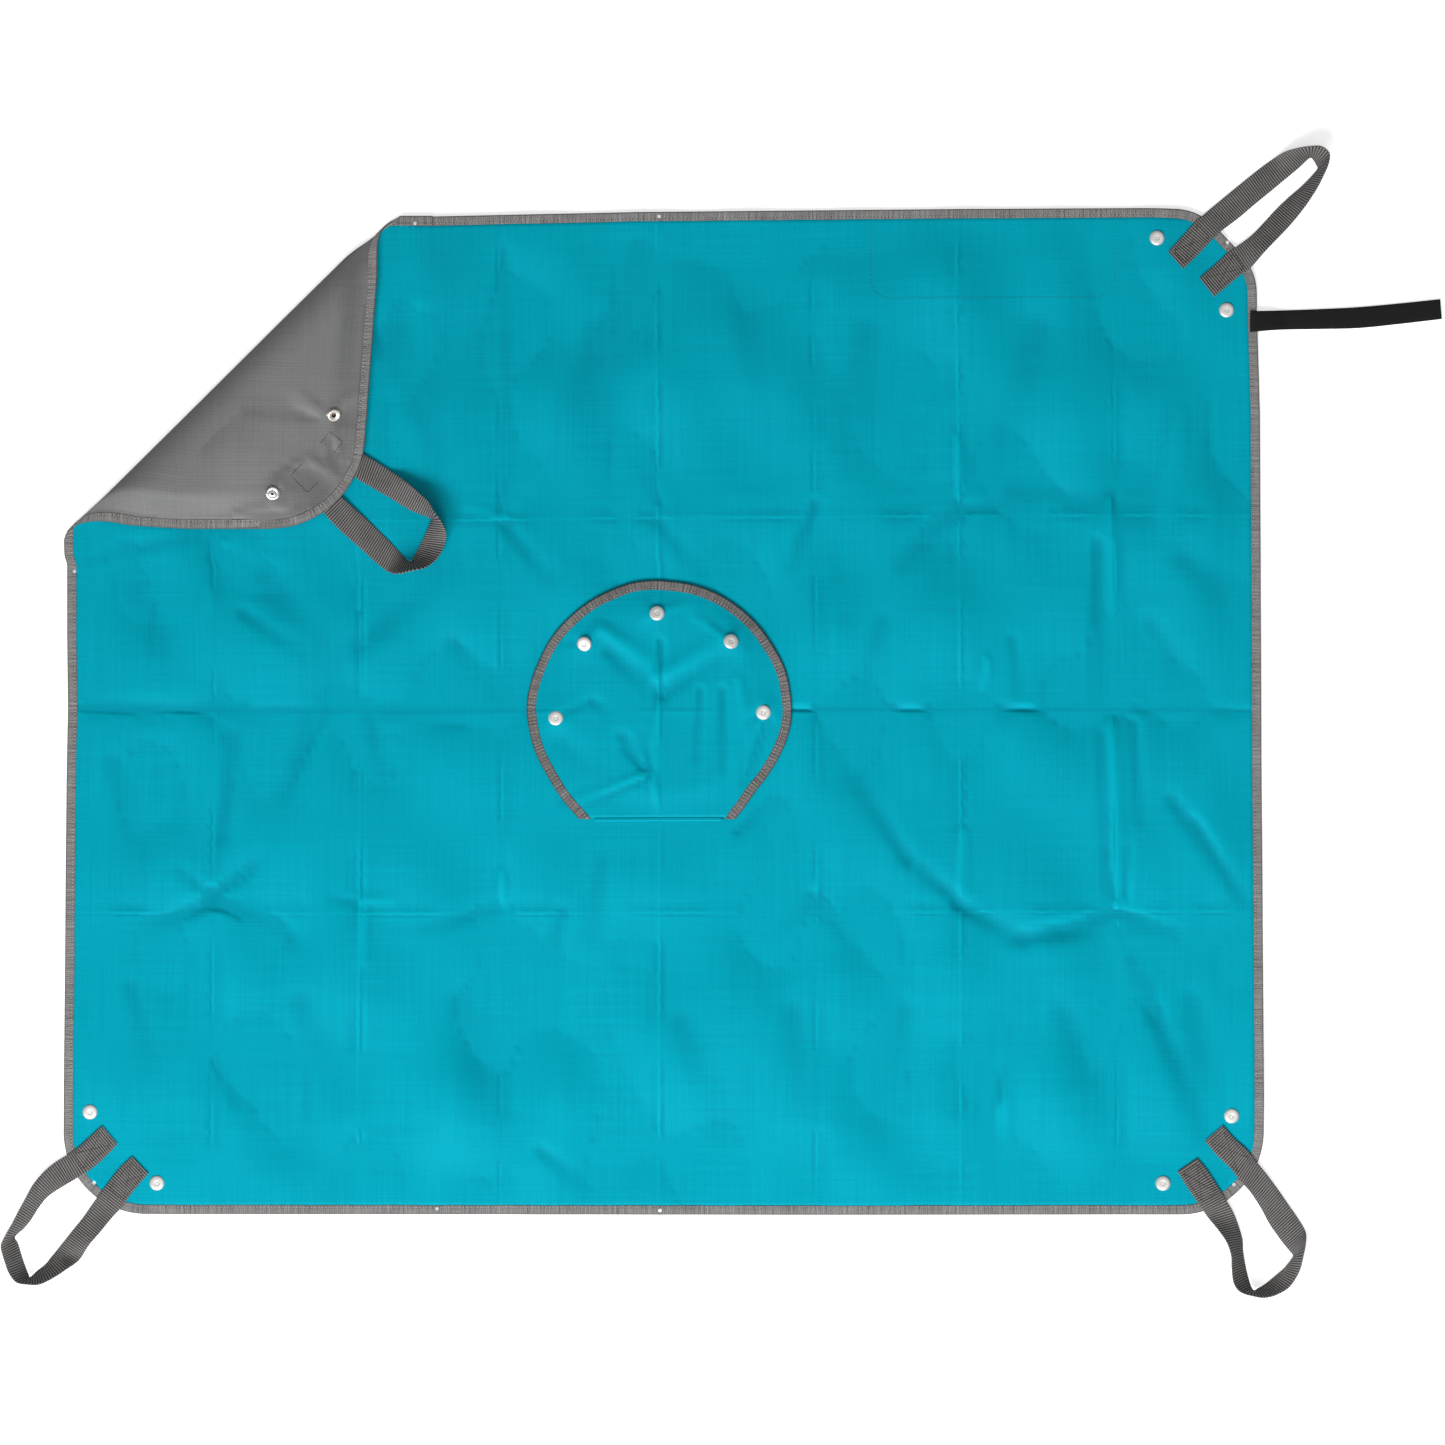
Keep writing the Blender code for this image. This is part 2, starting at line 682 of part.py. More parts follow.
def make_strap(materials):
    """The tie strap: its sewn end on the right-hand tape, and its free length."""
    edge = MAT_WIDTH / 2
    middle = TAPE_TOP + FIT + STRAP / 2
    centre = Vector((edge - STRAP_SEWN / 2, strap_line(), middle))
    box_piece("tie_strap_end", centre, (STRAP_SEWN, STRAP_WIDTH, STRAP), 0, materials["strap"])
    route = [(Vector((edge + FIT * 2, strap_line(), middle)), 0)]
    for along, across in STRAP_SHARES:
        out = along * STRAP_OUT
        height = middle + (STRAP / 2 + FIT - middle) * ease(out / DROP_LENGTH)
        route.append((Vector((edge + out, strap_line() + across * STRAP_WIDTH, height)), 0))
    half_width, half = STRAP_WIDTH / 2, STRAP / 2
    section = [
        (-half_width, -half, 0), (-half_width, half, 0), (half_width, half, 0), (half_width, -half, 0)
    ]
    path = route[:1] + smooth_route(route[1:])
    return swept_piece("tie_strap", path, section, materials["strap"])


def make_patch(materials):
    """A patch under the rear edge, its two free corners rounded."""
    rear = MAT_DEPTH / 2 - TAPE_WIDTH - FIT
    right = MAT_WIDTH / 2 - PATCH_GAP
    left = right - PATCH_WIDTH
    front = rear - PATCH_DEPTH
    quarter = math.pi / 2
    outline = [Vector((left, rear, 0)), Vector((right, rear, 0))]
    outline += arc(
        Vector((right - PATCH_CORNER, front + PATCH_CORNER, 0)), PATCH_CORNER, 0, -quarter, ARC_STEPS // 2
    )
    outline += arc(
        Vector((left + PATCH_CORNER, front + PATCH_CORNER, 0)), PATCH_CORNER, -quarter, -math.pi,
        ARC_STEPS // 2,
    )
    flat_piece("underside_patch", [outline], CLOTH_LOW - FIT - CLOTH, CLOTH, materials["lining"])


def stand_on_the_middle(frame):
    """Moves the whole part so that its origin is under the middle of its box."""
    bpy.context.view_layer.update()
    graph = bpy.context.evaluated_depsgraph_get()
    corners = []
    for piece in pieces.objects:
        if piece.type != "EMPTY":
            there = piece.evaluated_get(graph)
            corners += [there.matrix_world @ Vector(corner) for corner in there.bound_box]
    for axis in (0, 1):
        places = [corner[axis] for corner in corners]
        frame.location[axis] = -(min(places) + max(places)) / 2
    bpy.context.view_layer.update()


def make_edges(frame, strip_pivot, corner_pivot, materials):
    """The cloth and the edge tape, cut at the folds and carried by their pivots."""
    cloth = make_cloth(materials)
    tape = make_edge_tape(materials)
    pegs = peg_hole_places()
    parts = (
        ("mat", frame, [tape["mat"]], pegs[:-1]),
        ("strip", strip_pivot, [tape["strip_left"], tape["strip_rear"]], []),
        ("corner", corner_pivot, [tape["corner"]], pegs[-1:]),
    )
    for part, pivot, runs, holes in parts:
        stretch = fold_cutter(part)
        for run in runs:
            cut(run, stretch, "INTERSECT")
        carried = [cloth[part], stretch] + runs
        if holes:
            punch = drill("cut_pegs_" + part, holes, PEG_HOLE_RADIUS)
            for piece in [cloth[part]] + runs:
                cut(piece, punch)
            carried.append(punch)
        for piece in carried:
            carry(piece, pivot)


def make_corners(frame, corner_pivot, materials):
    """Snaps, sewn ends and the handle of each corner."""
    for corner in CORNERS:
        base = corner_pivot if corner == FOLDED else frame
        for piece in make_corner_snaps(corner, materials) + make_sewn_ends(corner, materials):
            carry(piece, base)
        handle = make_handle(corner, materials)
        lift = sideways(corner)
        height = WEBBING_TOP + HINGE_RISE
        if corner == FOLDED:
            lift = -lift
            height = TAPE_LOW - HINGE_RISE
        place = at_corner(corner, CORNER_RADIUS + FIT, 0, height)
        pivot = add_pivot(f"{corner}_handle_pivot", place, math.atan2(lift.y, lift.x), base)
        carry(handle, pivot)


clear_scene()
pieces = new_collection("repotting_mat", True)
cutters = new_collection("cutters", False)
materials = {
    "cloth": new_material("cloth", (0.0, 0.38, 0.50), 0.55, 0),
    "lining": new_material("lining", (0.22, 0.22, 0.23), 0.6, 0),
    "tape": new_material("tape", (0.15, 0.145, 0.145), 0.8, 0),
    "webbing": new_material("webbing", (0.11, 0.105, 0.105), 0.85, 0),
    "strap": new_material("strap", (0.02, 0.02, 0.02), 0.9, 0),
    "cap": new_material("cap", (0.8, 0.79, 0.78), 0.25, 1),
    "socket": new_material("socket", (0.78, 0.76, 0.7), 0.35, 1),
    "stud": new_material("stud", (0.8, 0.8, 0.8), 0.3, 1),
}
frame = add_object("mat_frame", None)
fold_axis = FOLD_OUT * FOLD_PLACE + Vector((0, 0, TAPE_TOP + HINGE_RISE))
strip_pivot = add_pivot("fold_lower_pivot", fold_axis, FOLD_ANGLE, frame)
corner_pivot = add_pivot(
    "fold_upper_pivot", fold_axis + FOLD_OUT * FOLD_HEIGHT, FOLD_ANGLE, strip_pivot
)
seam_place = Vector((FLAP_CENTRE.x, seam_line(), CLOTH_LOW + CLOTH / 2 + SEAM_RISE))
flap_pivot = add_pivot("flap_pivot", seam_place, 0, frame)
strap_place = Vector((MAT_WIDTH / 2 + FIT, strap_line(), TAPE_TOP + FIT + STRAP + HINGE_RISE))
strap_pivot = add_pivot("strap_pivot", strap_place, math.radians(-90), frame)

make_edges(frame, strip_pivot, corner_pivot, materials)
make_opening(materials)
make_flap(materials, flap_pivot)
make_patch(materials)
make_corners(frame, corner_pivot, materials)
carry(make_strap(materials), strap_pivot)
for piece in list(pieces.objects) + list(cutters.objects):
    if piece.parent is None and piece != frame:
        carry(piece, frame)
strip_pivot.rotation_euler.x = math.radians(90)
corner_pivot.rotation_euler.x = math.radians(90) + FOLD_SLOPE
for piece in pieces.objects:
    if piece.type == "MESH":
        shade(piece)
stand_on_the_middle(frame)
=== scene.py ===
import math

import bmesh
import bpy
import numpy as np
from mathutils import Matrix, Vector


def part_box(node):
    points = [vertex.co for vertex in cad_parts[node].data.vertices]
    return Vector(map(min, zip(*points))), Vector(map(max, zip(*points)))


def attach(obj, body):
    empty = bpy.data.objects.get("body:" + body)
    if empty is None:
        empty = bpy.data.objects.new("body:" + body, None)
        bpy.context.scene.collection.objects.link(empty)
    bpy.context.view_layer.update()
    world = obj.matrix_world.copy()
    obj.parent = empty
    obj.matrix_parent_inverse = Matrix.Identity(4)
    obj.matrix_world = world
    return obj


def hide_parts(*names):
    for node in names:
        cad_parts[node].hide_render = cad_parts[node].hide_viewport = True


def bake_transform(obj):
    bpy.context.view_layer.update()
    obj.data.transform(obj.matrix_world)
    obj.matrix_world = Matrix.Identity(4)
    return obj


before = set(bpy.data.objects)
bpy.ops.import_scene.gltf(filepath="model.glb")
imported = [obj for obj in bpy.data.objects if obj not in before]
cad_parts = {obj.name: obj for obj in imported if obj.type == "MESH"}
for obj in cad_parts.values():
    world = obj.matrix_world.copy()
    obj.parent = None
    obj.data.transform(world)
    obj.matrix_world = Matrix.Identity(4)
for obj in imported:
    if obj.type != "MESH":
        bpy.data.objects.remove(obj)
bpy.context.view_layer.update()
noise = np.random.default_rng(11)
print("frame loaded")

# The mat, in metres from its own middle; one photo pixel is one millimetre
mat = {"width": 1.196, "depth": 1.003, "corner": 0.082, "cloth": 0.0006, "level": 0.0034}
photo = {"across": 662, "down": 712, "perMetre": 1000}  # the mat's middle in the photo
tapeLow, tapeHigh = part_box("edge_tape")
middle = np.array([(tapeLow.x + tapeHigh.x) / 2, (tapeLow.y + tapeHigh.y) / 2, 0.0])
halfWidth, halfDepth = mat["width"] / 2, mat["depth"] / 2
diagonal = math.sqrt(0.5)
wholeTurn = 6.28
cornerSigns = {"top_right": (1, 1), "bottom_right": (1, -1), "bottom_left": (-1, -1), "top_left": (-1, 1)}


def ease(share):
    share = np.clip(share, 0, 1)
    return share * share * (3 - 2 * share)


def atPhoto(across, down):
    return (across - photo["across"]) / photo["perMetre"], (photo["down"] - down) / photo["perMetre"]


def inPhoto(x, y):
    return x * photo["perMetre"] + photo["across"], photo["down"] - y * photo["perMetre"]


def outward(x, y):
    return (y - x) * diagonal


# How far the real outline strays from straight, read down or across the photo
stray = {
    "left": ((210, 544, 554, 562, 640, 706, 780, 1136, 1214), (0, 0, 0.4, 3.1, 3.2, 4, 2.5, -0.5, 0)),
    "right": ((210, 310, 331, 414, 760, 1100, 1214), (-1, -3, -2.5, 0, 1.5, 4, 3)),
    "rear": ((64, 395, 432, 640, 960, 1150, 1260), (3, 6, 6, 1.5, -1.5, -2.5, -1)),
    "front": ((64, 500, 800, 1260), (0.5, 1, 1.5, 1)),
}
rounder = {"across": 1234, "down": 238, "spread": 1500, "deep": 6.5}  # the top right corner


def strayed(x, y):
    across, down = inPhoto(x, y)
    acrossShare, upShare = x / mat["width"] + 0.5, y / mat["depth"] + 0.5
    left, right = np.interp(down, *stray["left"]), np.interp(down, *stray["right"])
    rear, front = np.interp(across, *stray["rear"]), np.interp(across, *stray["front"])
    sideways = left * (1 - acrossShare) + right * acrossShare
    lengthways = front * (1 - upShare) + rear * upShare
    far = (across - rounder["across"]) ** 2 + (down - rounder["down"]) ** 2
    bow = rounder["deep"] * np.exp(-far / rounder["spread"])
    return (sideways - bow) / 1000, -(lengthways + bow) / 1000


# Storage creases: their place in the photo, then height and how sharp they are, in millimetres
creases = {
    "upright": ((212, 0.8), (357, 1.0), (500, 0.8), (657, 1.0), (815, 0.7), (958, 0.9), (1115, 0.8)),
    "level": ((516, 0.7), (710, 1.1), (911, 0.7)),
    "sharp": 1.5, "broad": 17.0, "wander": 0.9, "ditch": 2.8, "far": 60, "trough": 6, "troughWide": 7.5,
}
# Where the relief lies flatter: flap and rim in metres, corner and landing place in photo pixels
pressed = {
    "flap": {"inner": 0.083, "blend": 0.08}, "rim": 0.06,
    "corner": {"across": 390, "down": 535, "blend": 25, "share": 0.75, "free": 12},
    "landing": {"across": 622, "down": 850, "wide": 48, "long": 40, "share": 0.8},
}
flap = {
    "x": -0.0052, "y": -0.0014, "opening": 0.082, "seam": -0.1044, "half": 0.0683,
    "snaps": ((553, 716), (582, 642), (655, 612), (729, 640.5), (761, 711.5)),
    "tilts": ((-0.03, 0.02), (-0.08, -0.16), (0.02, 0.03), (0.10, 0.20), (0.02, -0.03)),
    "high": 0.0058, "low": 0.0048, "snapLift": 0.0028, "snapWide": 0.017, "puff": 0.0016, "soft": 620,
}
# Soft folds: from, to and half width in photo pixels, then their height before it is scaled
softFolds = (
    (75, 708, 525, 707, 1.8, -1.6), (525, 709, 75, 710, 1.8, -1.4), (790, 709, 1250, 710, 1.8, -1.6),
    (1250, 711, 790, 709, 1.8, -1.4), (85, 704, 235, 704, 9, -1.1), (380, 712, 460, 709, 7, -1.0),
    (232, 735, 222, 835, 7, -1.5), (322, 712, 286, 780, 6, -1.7), (367, 716, 377, 776, 6, -1.4),
    (357, 610, 356, 700, 4, -1.3), (216, 712, 262, 720, 5, -1.2), (240, 610, 300, 650, 9, -1.3),
    (211, 903, 150, 925, 9, -1.7), (211, 903, 280, 925, 6, -1.6), (211, 893, 250, 866, 6, -1.3),
    (1114, 916, 1058, 928, 4, -2.0), (1058, 928, 1010, 941, 7, -1.6), (1108, 895, 1104, 850, 3, -1.5),
    (1121, 896, 1124, 850, 3, -1.5), (1121, 918, 1140, 919, 3, -1.2), (1114, 928, 1128, 960, 4, -1.5),
    (1128, 960, 1150, 1010, 9, -1.6), (1150, 1010, 1200, 1130, 12, -1.8), (1192, 820, 1240, 900, 6, -1.4),
    (1121, 930, 1170, 935, 8, -1.2), (988, 1020, 1000, 1125, 1.6, -1.0), (78, 558, 195, 533, 8, -1.7),
    (205, 532, 207, 576, 4, -1.4), (225, 540, 262, 556, 7, 1.2), (1114, 905, 1113, 925, 4, 1.5),
    (506, 330, 508, 480, 7, -1.5), (504, 245, 506, 330, 8, -0.9), (376, 330, 440, 450, 12, -1.2),
    (420, 300, 400, 440, 16, 1.0), (640, 250, 600, 430, 20, -1.1), (1180, 420, 1150, 560, 14, 1.1),
    (303, 716, 282, 790, 8, -1.5), (226, 735, 220, 835, 9, -1.4), (362, 716, 381, 776, 9, -1.1),
    (358, 612, 358, 706, 3, 1.0), (205, 530, 206, 604, 3, 0.9), (211, 895, 165, 922, 7, -1.7),
    (211, 895, 290, 938, 8, -1.9), (211, 895, 256, 858, 8, -1.4), (211, 895, 176, 868, 7, -1.2),
    (211, 895, 236, 912, 4, 1.1), (360, 900, 361, 960, 5, 1.2), (360, 897, 388, 900, 3, 1.1),
    (360, 902, 330, 897, 5, -1.0), (500, 874, 500, 912, 4, 1.3), (497, 908, 425, 923, 9, -1.6),
    (505, 480, 505, 514, 5, -1.6), (505, 514, 470, 506, 5, 1.1), (505, 522, 545, 575, 9, -1.6),
    (360, 640, 450, 560, 16, -1.5), (260, 575, 330, 650, 18, -1.6), (958, 440, 958, 508, 4, 1.3),
    (957, 510, 900, 562, 10, -2.0), (957, 510, 1030, 506, 6, -1.5), (1010, 492, 1106, 503, 11, -2.1),
    (1108, 500, 1110, 538, 4, 1.6), (1097, 545, 1095, 695, 8, -2.0), (1112, 545, 1112, 640, 6, 1.0),
    (1109, 722, 1119, 900, 7, 1.3), (1131, 725, 1137, 820, 7, -1.8), (1098, 722, 1105, 900, 8, -1.3),
    (1114, 915, 1050, 938, 8, -1.8), (1114, 915, 1168, 932, 7, -1.5), (1114, 915, 1125, 955, 4, 1.2),
    (954, 898, 905, 858, 9, -1.9), (905, 858, 855, 780, 10, -1.7), (956, 905, 1020, 938, 9, -1.9),
    (1020, 938, 1086, 928, 9, -1.6), (1170, 800, 1245, 905, 10, -1.6), (960, 830, 958, 890, 4, 1.0),
    (1185, 560, 1240, 600, 18, -1.4), (1010, 640, 1018, 700, 8, -1.0), (985, 660, 978, 706, 4, 0.9),
    (815, 505, 790, 565, 8, -1.5), (812, 900, 780, 930, 8, -1.4), (812, 900, 850, 935, 8, -1.3),
    (812, 898, 815, 870, 4, 1.1), (657, 500, 640, 470, 7, -1.2), (657, 520, 690, 560, 9, -1.1),
    (560, 800, 610, 768, 6, -1.4), (735, 830, 775, 800, 8, -1.3), (600, 860, 590, 930, 10, -1.2),
    (450, 640, 500, 700, 12, -1.2), (560, 910, 545, 960, 9, -1.2), (790, 1010, 800, 1100, 16, -1.2),
    (995, 1050, 999, 1130, 3, 0.9), (215, 1060, 235, 1100, 7, -1.2), (540, 1150, 575, 1178, 9, -1.2),
    (400, 330, 440, 420, 22, -1.6), (430, 230, 470, 330, 24, -1.4), (600, 330, 560, 440, 22, -1.5),
    (745, 300, 765, 420, 18, -1.2), (870, 330, 850, 450, 20, -1.3), (1040, 330, 1010, 430, 20, -1.3),
    (1180, 420, 1150, 520, 18, -1.3), (130, 590, 170, 660, 16, -1.4), (110, 760, 140, 850, 14, -1.2),
    (300, 1000, 340, 1100, 18, -1.2), (460, 1000, 500, 1120, 18, -1.2), (680, 1020, 720, 1120, 18, -1.2),
    (900, 1010, 880, 1120, 16, -1.1), (1060, 1010, 1100, 1100, 16, -1.1), (1190, 1000, 1200, 1080, 14, -1.1),
    (130, 985, 150, 1060, 12, -1.1), (1150, 625, 1190, 690, 12, -1.0), (880, 620, 860, 690, 12, -1.1),
)
swellRanges = ((0.09, 0.30), (0, math.pi), (0, wholeTurn), (0.5, 1.3))  # length, turn, start and height
swells = [tuple(noise.uniform(low, high) for low, high in swellRanges) for _ in range(16)]
ripples = [(noise.uniform(0.05, 0.16), noise.uniform(0, wholeTurn)) for _ in range(5)]
tremors = [(noise.uniform(0.012, 0.03), noise.uniform(0, wholeTurn)) for _ in range(4)]


def alongNoise(along, seed, waves=ripples):
    total = sum(np.sin(along / length * wholeTurn + start + seed * 2.1) for length, start in waves)
    return 0.5 + 0.5 * np.tanh(total * 0.6)


def hump(apart, wide):
    return np.exp(-((apart / wide) ** 2))


def strokes(across, down, folds):
    total = np.zeros_like(across)
    for startX, startY, endX, endY, wide, tall in folds:
        wide = wide if wide < 2 else max(wide, 5)  # only the thinnest lines stay sharper than 5 pixels
        runX, runY = endX - startX, endY - startY
        share = np.clip(((across - startX) * runX + (down - startY) * runY) / (runX**2 + runY**2), 0, 1)
        apart = np.hypot(across - startX - share * runX, down - startY - share * runY)
        total += tall * np.exp(-((apart / wide / (0.75 + 0.5 * share)) ** 2)) * (1 - 0.6 * share)
    return total


def creaseHeight(seed, place, strength, across, along):
    apart = across - place + creases["wander"] * (alongNoise(along, seed + 9, tremors) - 0.5)
    shown = strength * (0.08 + 0.92 * alongNoise(along, seed) ** 1.6)
    side = 1 if seed % 2 else -1
    ridge, ditch = hump(apart, creases["sharp"]), hump(apart - creases["ditch"] * side, creases["sharp"])
    bend = np.tanh(apart / creases["broad"]) * hump(apart, creases["far"])
    fall = np.exp(-np.abs(apart) / creases["broad"])
    trough = hump(apart + creases["trough"] * side, creases["troughWide"]) * alongNoise(along, seed + 30)
    sharp = shown * (0.22 * ridge - 0.55 * ditch)
    return sharp, strength * 0.9 * side * fall + shown * 0.5 * bend, 1.2 * strength * trough


def clothHeight(x, y):
    across, down = inPhoto(x, y)
    high = np.zeros_like(x)
    for length, turn, start, tall in swells:
        along = x * math.cos(turn) + y * math.sin(turn)
        high += tall * np.sin(along / length * wholeTurn + start)
    for seed, (place, strength) in enumerate(creases["upright"] + creases["level"]):
        upright = seed < len(creases["upright"])
        sharp, soft, trough = creaseHeight(seed, place, strength, *((across, y) if upright else (down, x)))
        high += sharp
        high += soft
        high -= trough
    high += 1.6 * strokes(across, down, softFolds)
    corner, landing = pressed["corner"], pressed["landing"]
    flapFar = np.hypot(x - flap["x"], y - flap["y"]) - pressed["flap"]["inner"]
    covered = ease((corner["across"] - across) / corner["blend"])
    covered = covered * ease((corner["down"] - down) / corner["blend"])
    high *= ease(flapFar / pressed["flap"]["blend"]) * (1 - corner["share"] * covered)
    high = np.minimum(high, 1.0 + corner["free"] * (1 - covered))
    overX, overY = (across - landing["across"]) / landing["wide"], (down - landing["down"]) / landing["long"]
    high *= 1 - landing["share"] * np.exp(-(overX**2) - overY**2)
    rim = ease(np.minimum(halfWidth - np.abs(x), halfDepth - np.abs(y)) / pressed["rim"])
    high *= 0.35 + 0.65 * rim
    return np.maximum(high, -0.7 - 1.6 * rim + 0.2 * np.tanh(high)) / 1000


# The folded corner: places across the fold, its soft roll, and what keeps it off the floor unfolded
fold = {
    "start": 0.528, "middle": 0.556, "top": 0.602, "mirror": 1.112, "reach": 0.020, "blend": 0.05,
    "lower": 0.0085, "upper": 0.0122, "rest": 0.0086, "slide": 0.125, "tuck": 0.0065, "untuck": 0.0015,
    "gap": 0.7863, "room": 0.0160, "roomFrom": 0.40, "roomSlope": 0.0731, "sink": 0.001, "reliefEnd": 0.48,
}
lean = {"least": 3.8, "most": 17, "from": 228, "long": 227, "left": 180, "wide": 190}  # in photo pixels
sag = {"deep": 5.3, "left": 90, "leftWide": 110, "right": 270, "rightWide": 70, "from": 430, "long": 60}
# Light creases on the grey side: a list of the same kind, read at the folded place
cornerFolds = (
    (326, 412, 290, 392, 7, 1.8), (326, 420, 296, 412, 5, -1.2), (342, 412, 368, 398, 5, 1.6),
    (342, 420, 366, 424, 5, -1.2), (300, 470, 322, 462, 5, 1.6), (322, 462, 346, 476, 5, 1.5),
    (338, 440, 352, 470, 5, -1.2), (345, 450, 352, 425, 4, 1.4), (282, 500, 310, 512, 5, 1.6),
    (240, 512, 300, 500, 6, 1.8), (246, 520, 300, 512, 4, -1.2), (285, 486, 305, 464, 5, 1.4),
    (296, 466, 276, 480, 4, -1.2), (215, 380, 300, 330, 22, 1.6), (160, 440, 250, 470, 20, 1.4),
    (235, 330, 300, 290, 16, -1.2), (130, 480, 230, 500, 12, 1.0), (300, 300, 340, 360, 16, -1.0),
    (200, 440, 250, 420, 14, -1.0),
)

# Painted shade: darker patches beside the corner's snaps and handle ends
cornerShades = (
    (290, 476, 330, 478, 11, 1.0), (300, 468, 334, 499, 9, 0.8), (343, 457, 354, 450, 5, 1.3),
    (246, 514, 306, 511, 6, 1.3), (250, 414, 320, 420, 5, 0.5), (344, 417, 362, 417, 4, 0.9),
    (207, 442, 244, 409, 16, 0.5), (349, 436, 349, 410, 6, 0.7), (322, 508, 340, 492, 5, 0.8),
)


def atFolded(x, y):
    return inPhoto(y - fold["gap"], x + fold["gap"])


def cornerRipple(x, y, beyond):
    return 1.6 * strokes(*atFolded(x, y), cornerFolds) / 1000 * ease(beyond / 0.05)


def foldSize(x, y):
    inside = np.minimum(halfDepth - y, x + halfWidth)
    return ease((inside - 0.008) / 0.030)


def spread(*values):
    return np.broadcast_arrays(*(np.asarray(value, float) for value in values))


def laid(x, y, above):
    x, y, above = spread(x, y, above)
    out, along = outward(x, y), (x + y) * diagonal
    size, level = foldSize(x, y), mat["level"]
    flatZ = level + clothHeight(x, y) * (1 - ease((out - fold["start"] + fold["blend"]) / fold["blend"]))
    lower, upper = fold["lower"] * (0.3 + 0.7 * size), fold["upper"] * (0.3 + 0.7 * size)
    reach = fold["reach"] * (0.15 + 0.85 * size)
    tuck = fold["tuck"] * ease((along + 0.15) / 0.2) - fold["untuck"]
    start = fold["start"] + fold["reach"] - reach - tuck * (1 - size)
    first = np.clip((out - start) / (fold["middle"] - start), 0, 1) * math.pi / 2
    second = np.clip((out - fold["middle"]) / (fold["top"] - fold["middle"]), 0, 1) * math.pi / 2
    back = start + reach - (fold["mirror"] - fold["top"])
    beyond = np.maximum(out - fold["top"], 0)
    share = beyond / fold["slide"]
    peak = level + lower + upper
    lowered = (fold["rest"] - peak) * ease(share)
    room = fold["room"] + (fold["mirror"] - out - fold["roomFrom"]) * fold["roomSlope"] - peak - lowered
    ripple = np.clip(cornerRipple(x, y, beyond), -fold["sink"], room)
    slope = (fold["rest"] - peak) * 6 * share * (1 - share) / fold["slide"] * (beyond < fold["slide"])
    stretches = (out <= start, out <= fold["middle"], out <= fold["top"])

    def chosen(flat, rising, rolling, folded):
        return np.select(stretches, (flat, rising, rolling), folded)

    rising, rolling = start + reach * np.sin(first), start + reach - back * (1 - np.cos(second))
    acrossFold = chosen(out, rising, rolling, fold["mirror"] - out)
    rising, rolling = level + lower * (1 - np.cos(first)), level + lower + upper * np.sin(second)
    height = chosen(flatZ, rising, rolling, peak + lowered + ripple)
    runU = chosen(1, reach * np.cos(first), -back * np.sin(second), -1)
    runZ = chosen(0, lower * np.sin(first), upper * np.cos(second), slope)
    long = np.hypot(runU, runZ)
    acrossFold = acrossFold - runZ / long * above
    height = height + runU / long * above
    turned = ease((out - fold["middle"]) / fold["blend"])
    shiftX, shiftY = strayed(x, y)
    worldX = (along - acrossFold) * diagonal + shiftX * (1 - turned)
    worldY = (along + acrossFold) * diagonal + shiftY * (1 - turned)
    across, down = inPhoto(worldX, worldY)
    fallen = np.clip((down - lean["from"]) / lean["long"], 0, 1.1)
    leaning = (lean["least"] - lean["most"] * fallen) * ease((across - lean["left"]) / lean["wide"])
    worldX = worldX + leaning / 1000 * turned
    sagging = sag["deep"] * ease((across - sag["left"]) / sag["leftWide"])
    sagging = sagging * (1 - ease((across - sag["right"]) / sag["rightWide"]))
    worldY = worldY - sagging * ease((down - sag["from"]) / sag["long"]) / 1000 * turned
    return np.stack([worldX, worldY, height], -1) + middle


# Materials
class Signal:
    def __init__(self, tree, socket):
        self.tree, self.socket = tree, socket

    def feed(self, slot, value):
        if isinstance(value, Signal):
            self.tree.links.new(value.socket, slot)
        else:
            slot.default_value = value

    def node(self, kind, settings, inputs, output=0):
        made = self.tree.nodes.new("ShaderNode" + kind)
        for name, value in settings.items():
            setattr(made, name, value)
        for name, value in inputs.items():
            self.feed(made.inputs[name], value)
        return Signal(self.tree, made.outputs[output])

    def maths(self, operation, *values):
        return self.node("Math", {"operation": operation}, dict(enumerate(values)))

    def __add__(self, other):
        return self.maths("ADD", self, other)

    def __sub__(self, other):
        return self.maths("SUBTRACT", self, other)

    def __rsub__(self, other):
        return self.maths("SUBTRACT", other, self)

    def __mul__(self, other):
        return self.maths("MULTIPLY", self, other)

    def __pow__(self, other):
        return self.maths("POWER", self, other)

    def wave(self, length, operation="SINE"):
        return self.maths(operation, self * (math.tau / length))

    def within(self, low, high):
        return self.maths("MINIMUM", self.maths("MAXIMUM", self, low), high)

    def rise(self, low, high):
        return self.node("MapRange", {"interpolation_type": "SMOOTHSTEP"}, {0: self, 1: low, 2: high})

    def mixed(self, first, second):
        return self.node("Mix", {"data_type": "RGBA"}, {0: self, 6: (*first, 1), 7: (*second, 1)}, 2)


def newMaterial(name, colour, roughness, gloss=0.5, metallic=0.0):
    made = bpy.data.materials.new(name)
    made.use_nodes = True
    tree = made.node_tree
    shader = tree.nodes["Principled BSDF"]
    shader.inputs["Base Color"].default_value = (*colour, 1)
    shader.inputs["Roughness"].default_value = roughness
    shader.inputs["Metallic"].default_value = metallic
    shader.inputs["Specular IOR Level"].default_value = gloss
    place = Signal(tree, None).node("UVMap", {"uv_map": "cloth"}, {})
    x, y = (place.node("SeparateXYZ", {}, {0: place}, part) for part in (0, 1))
    return made, shader, place, x, y


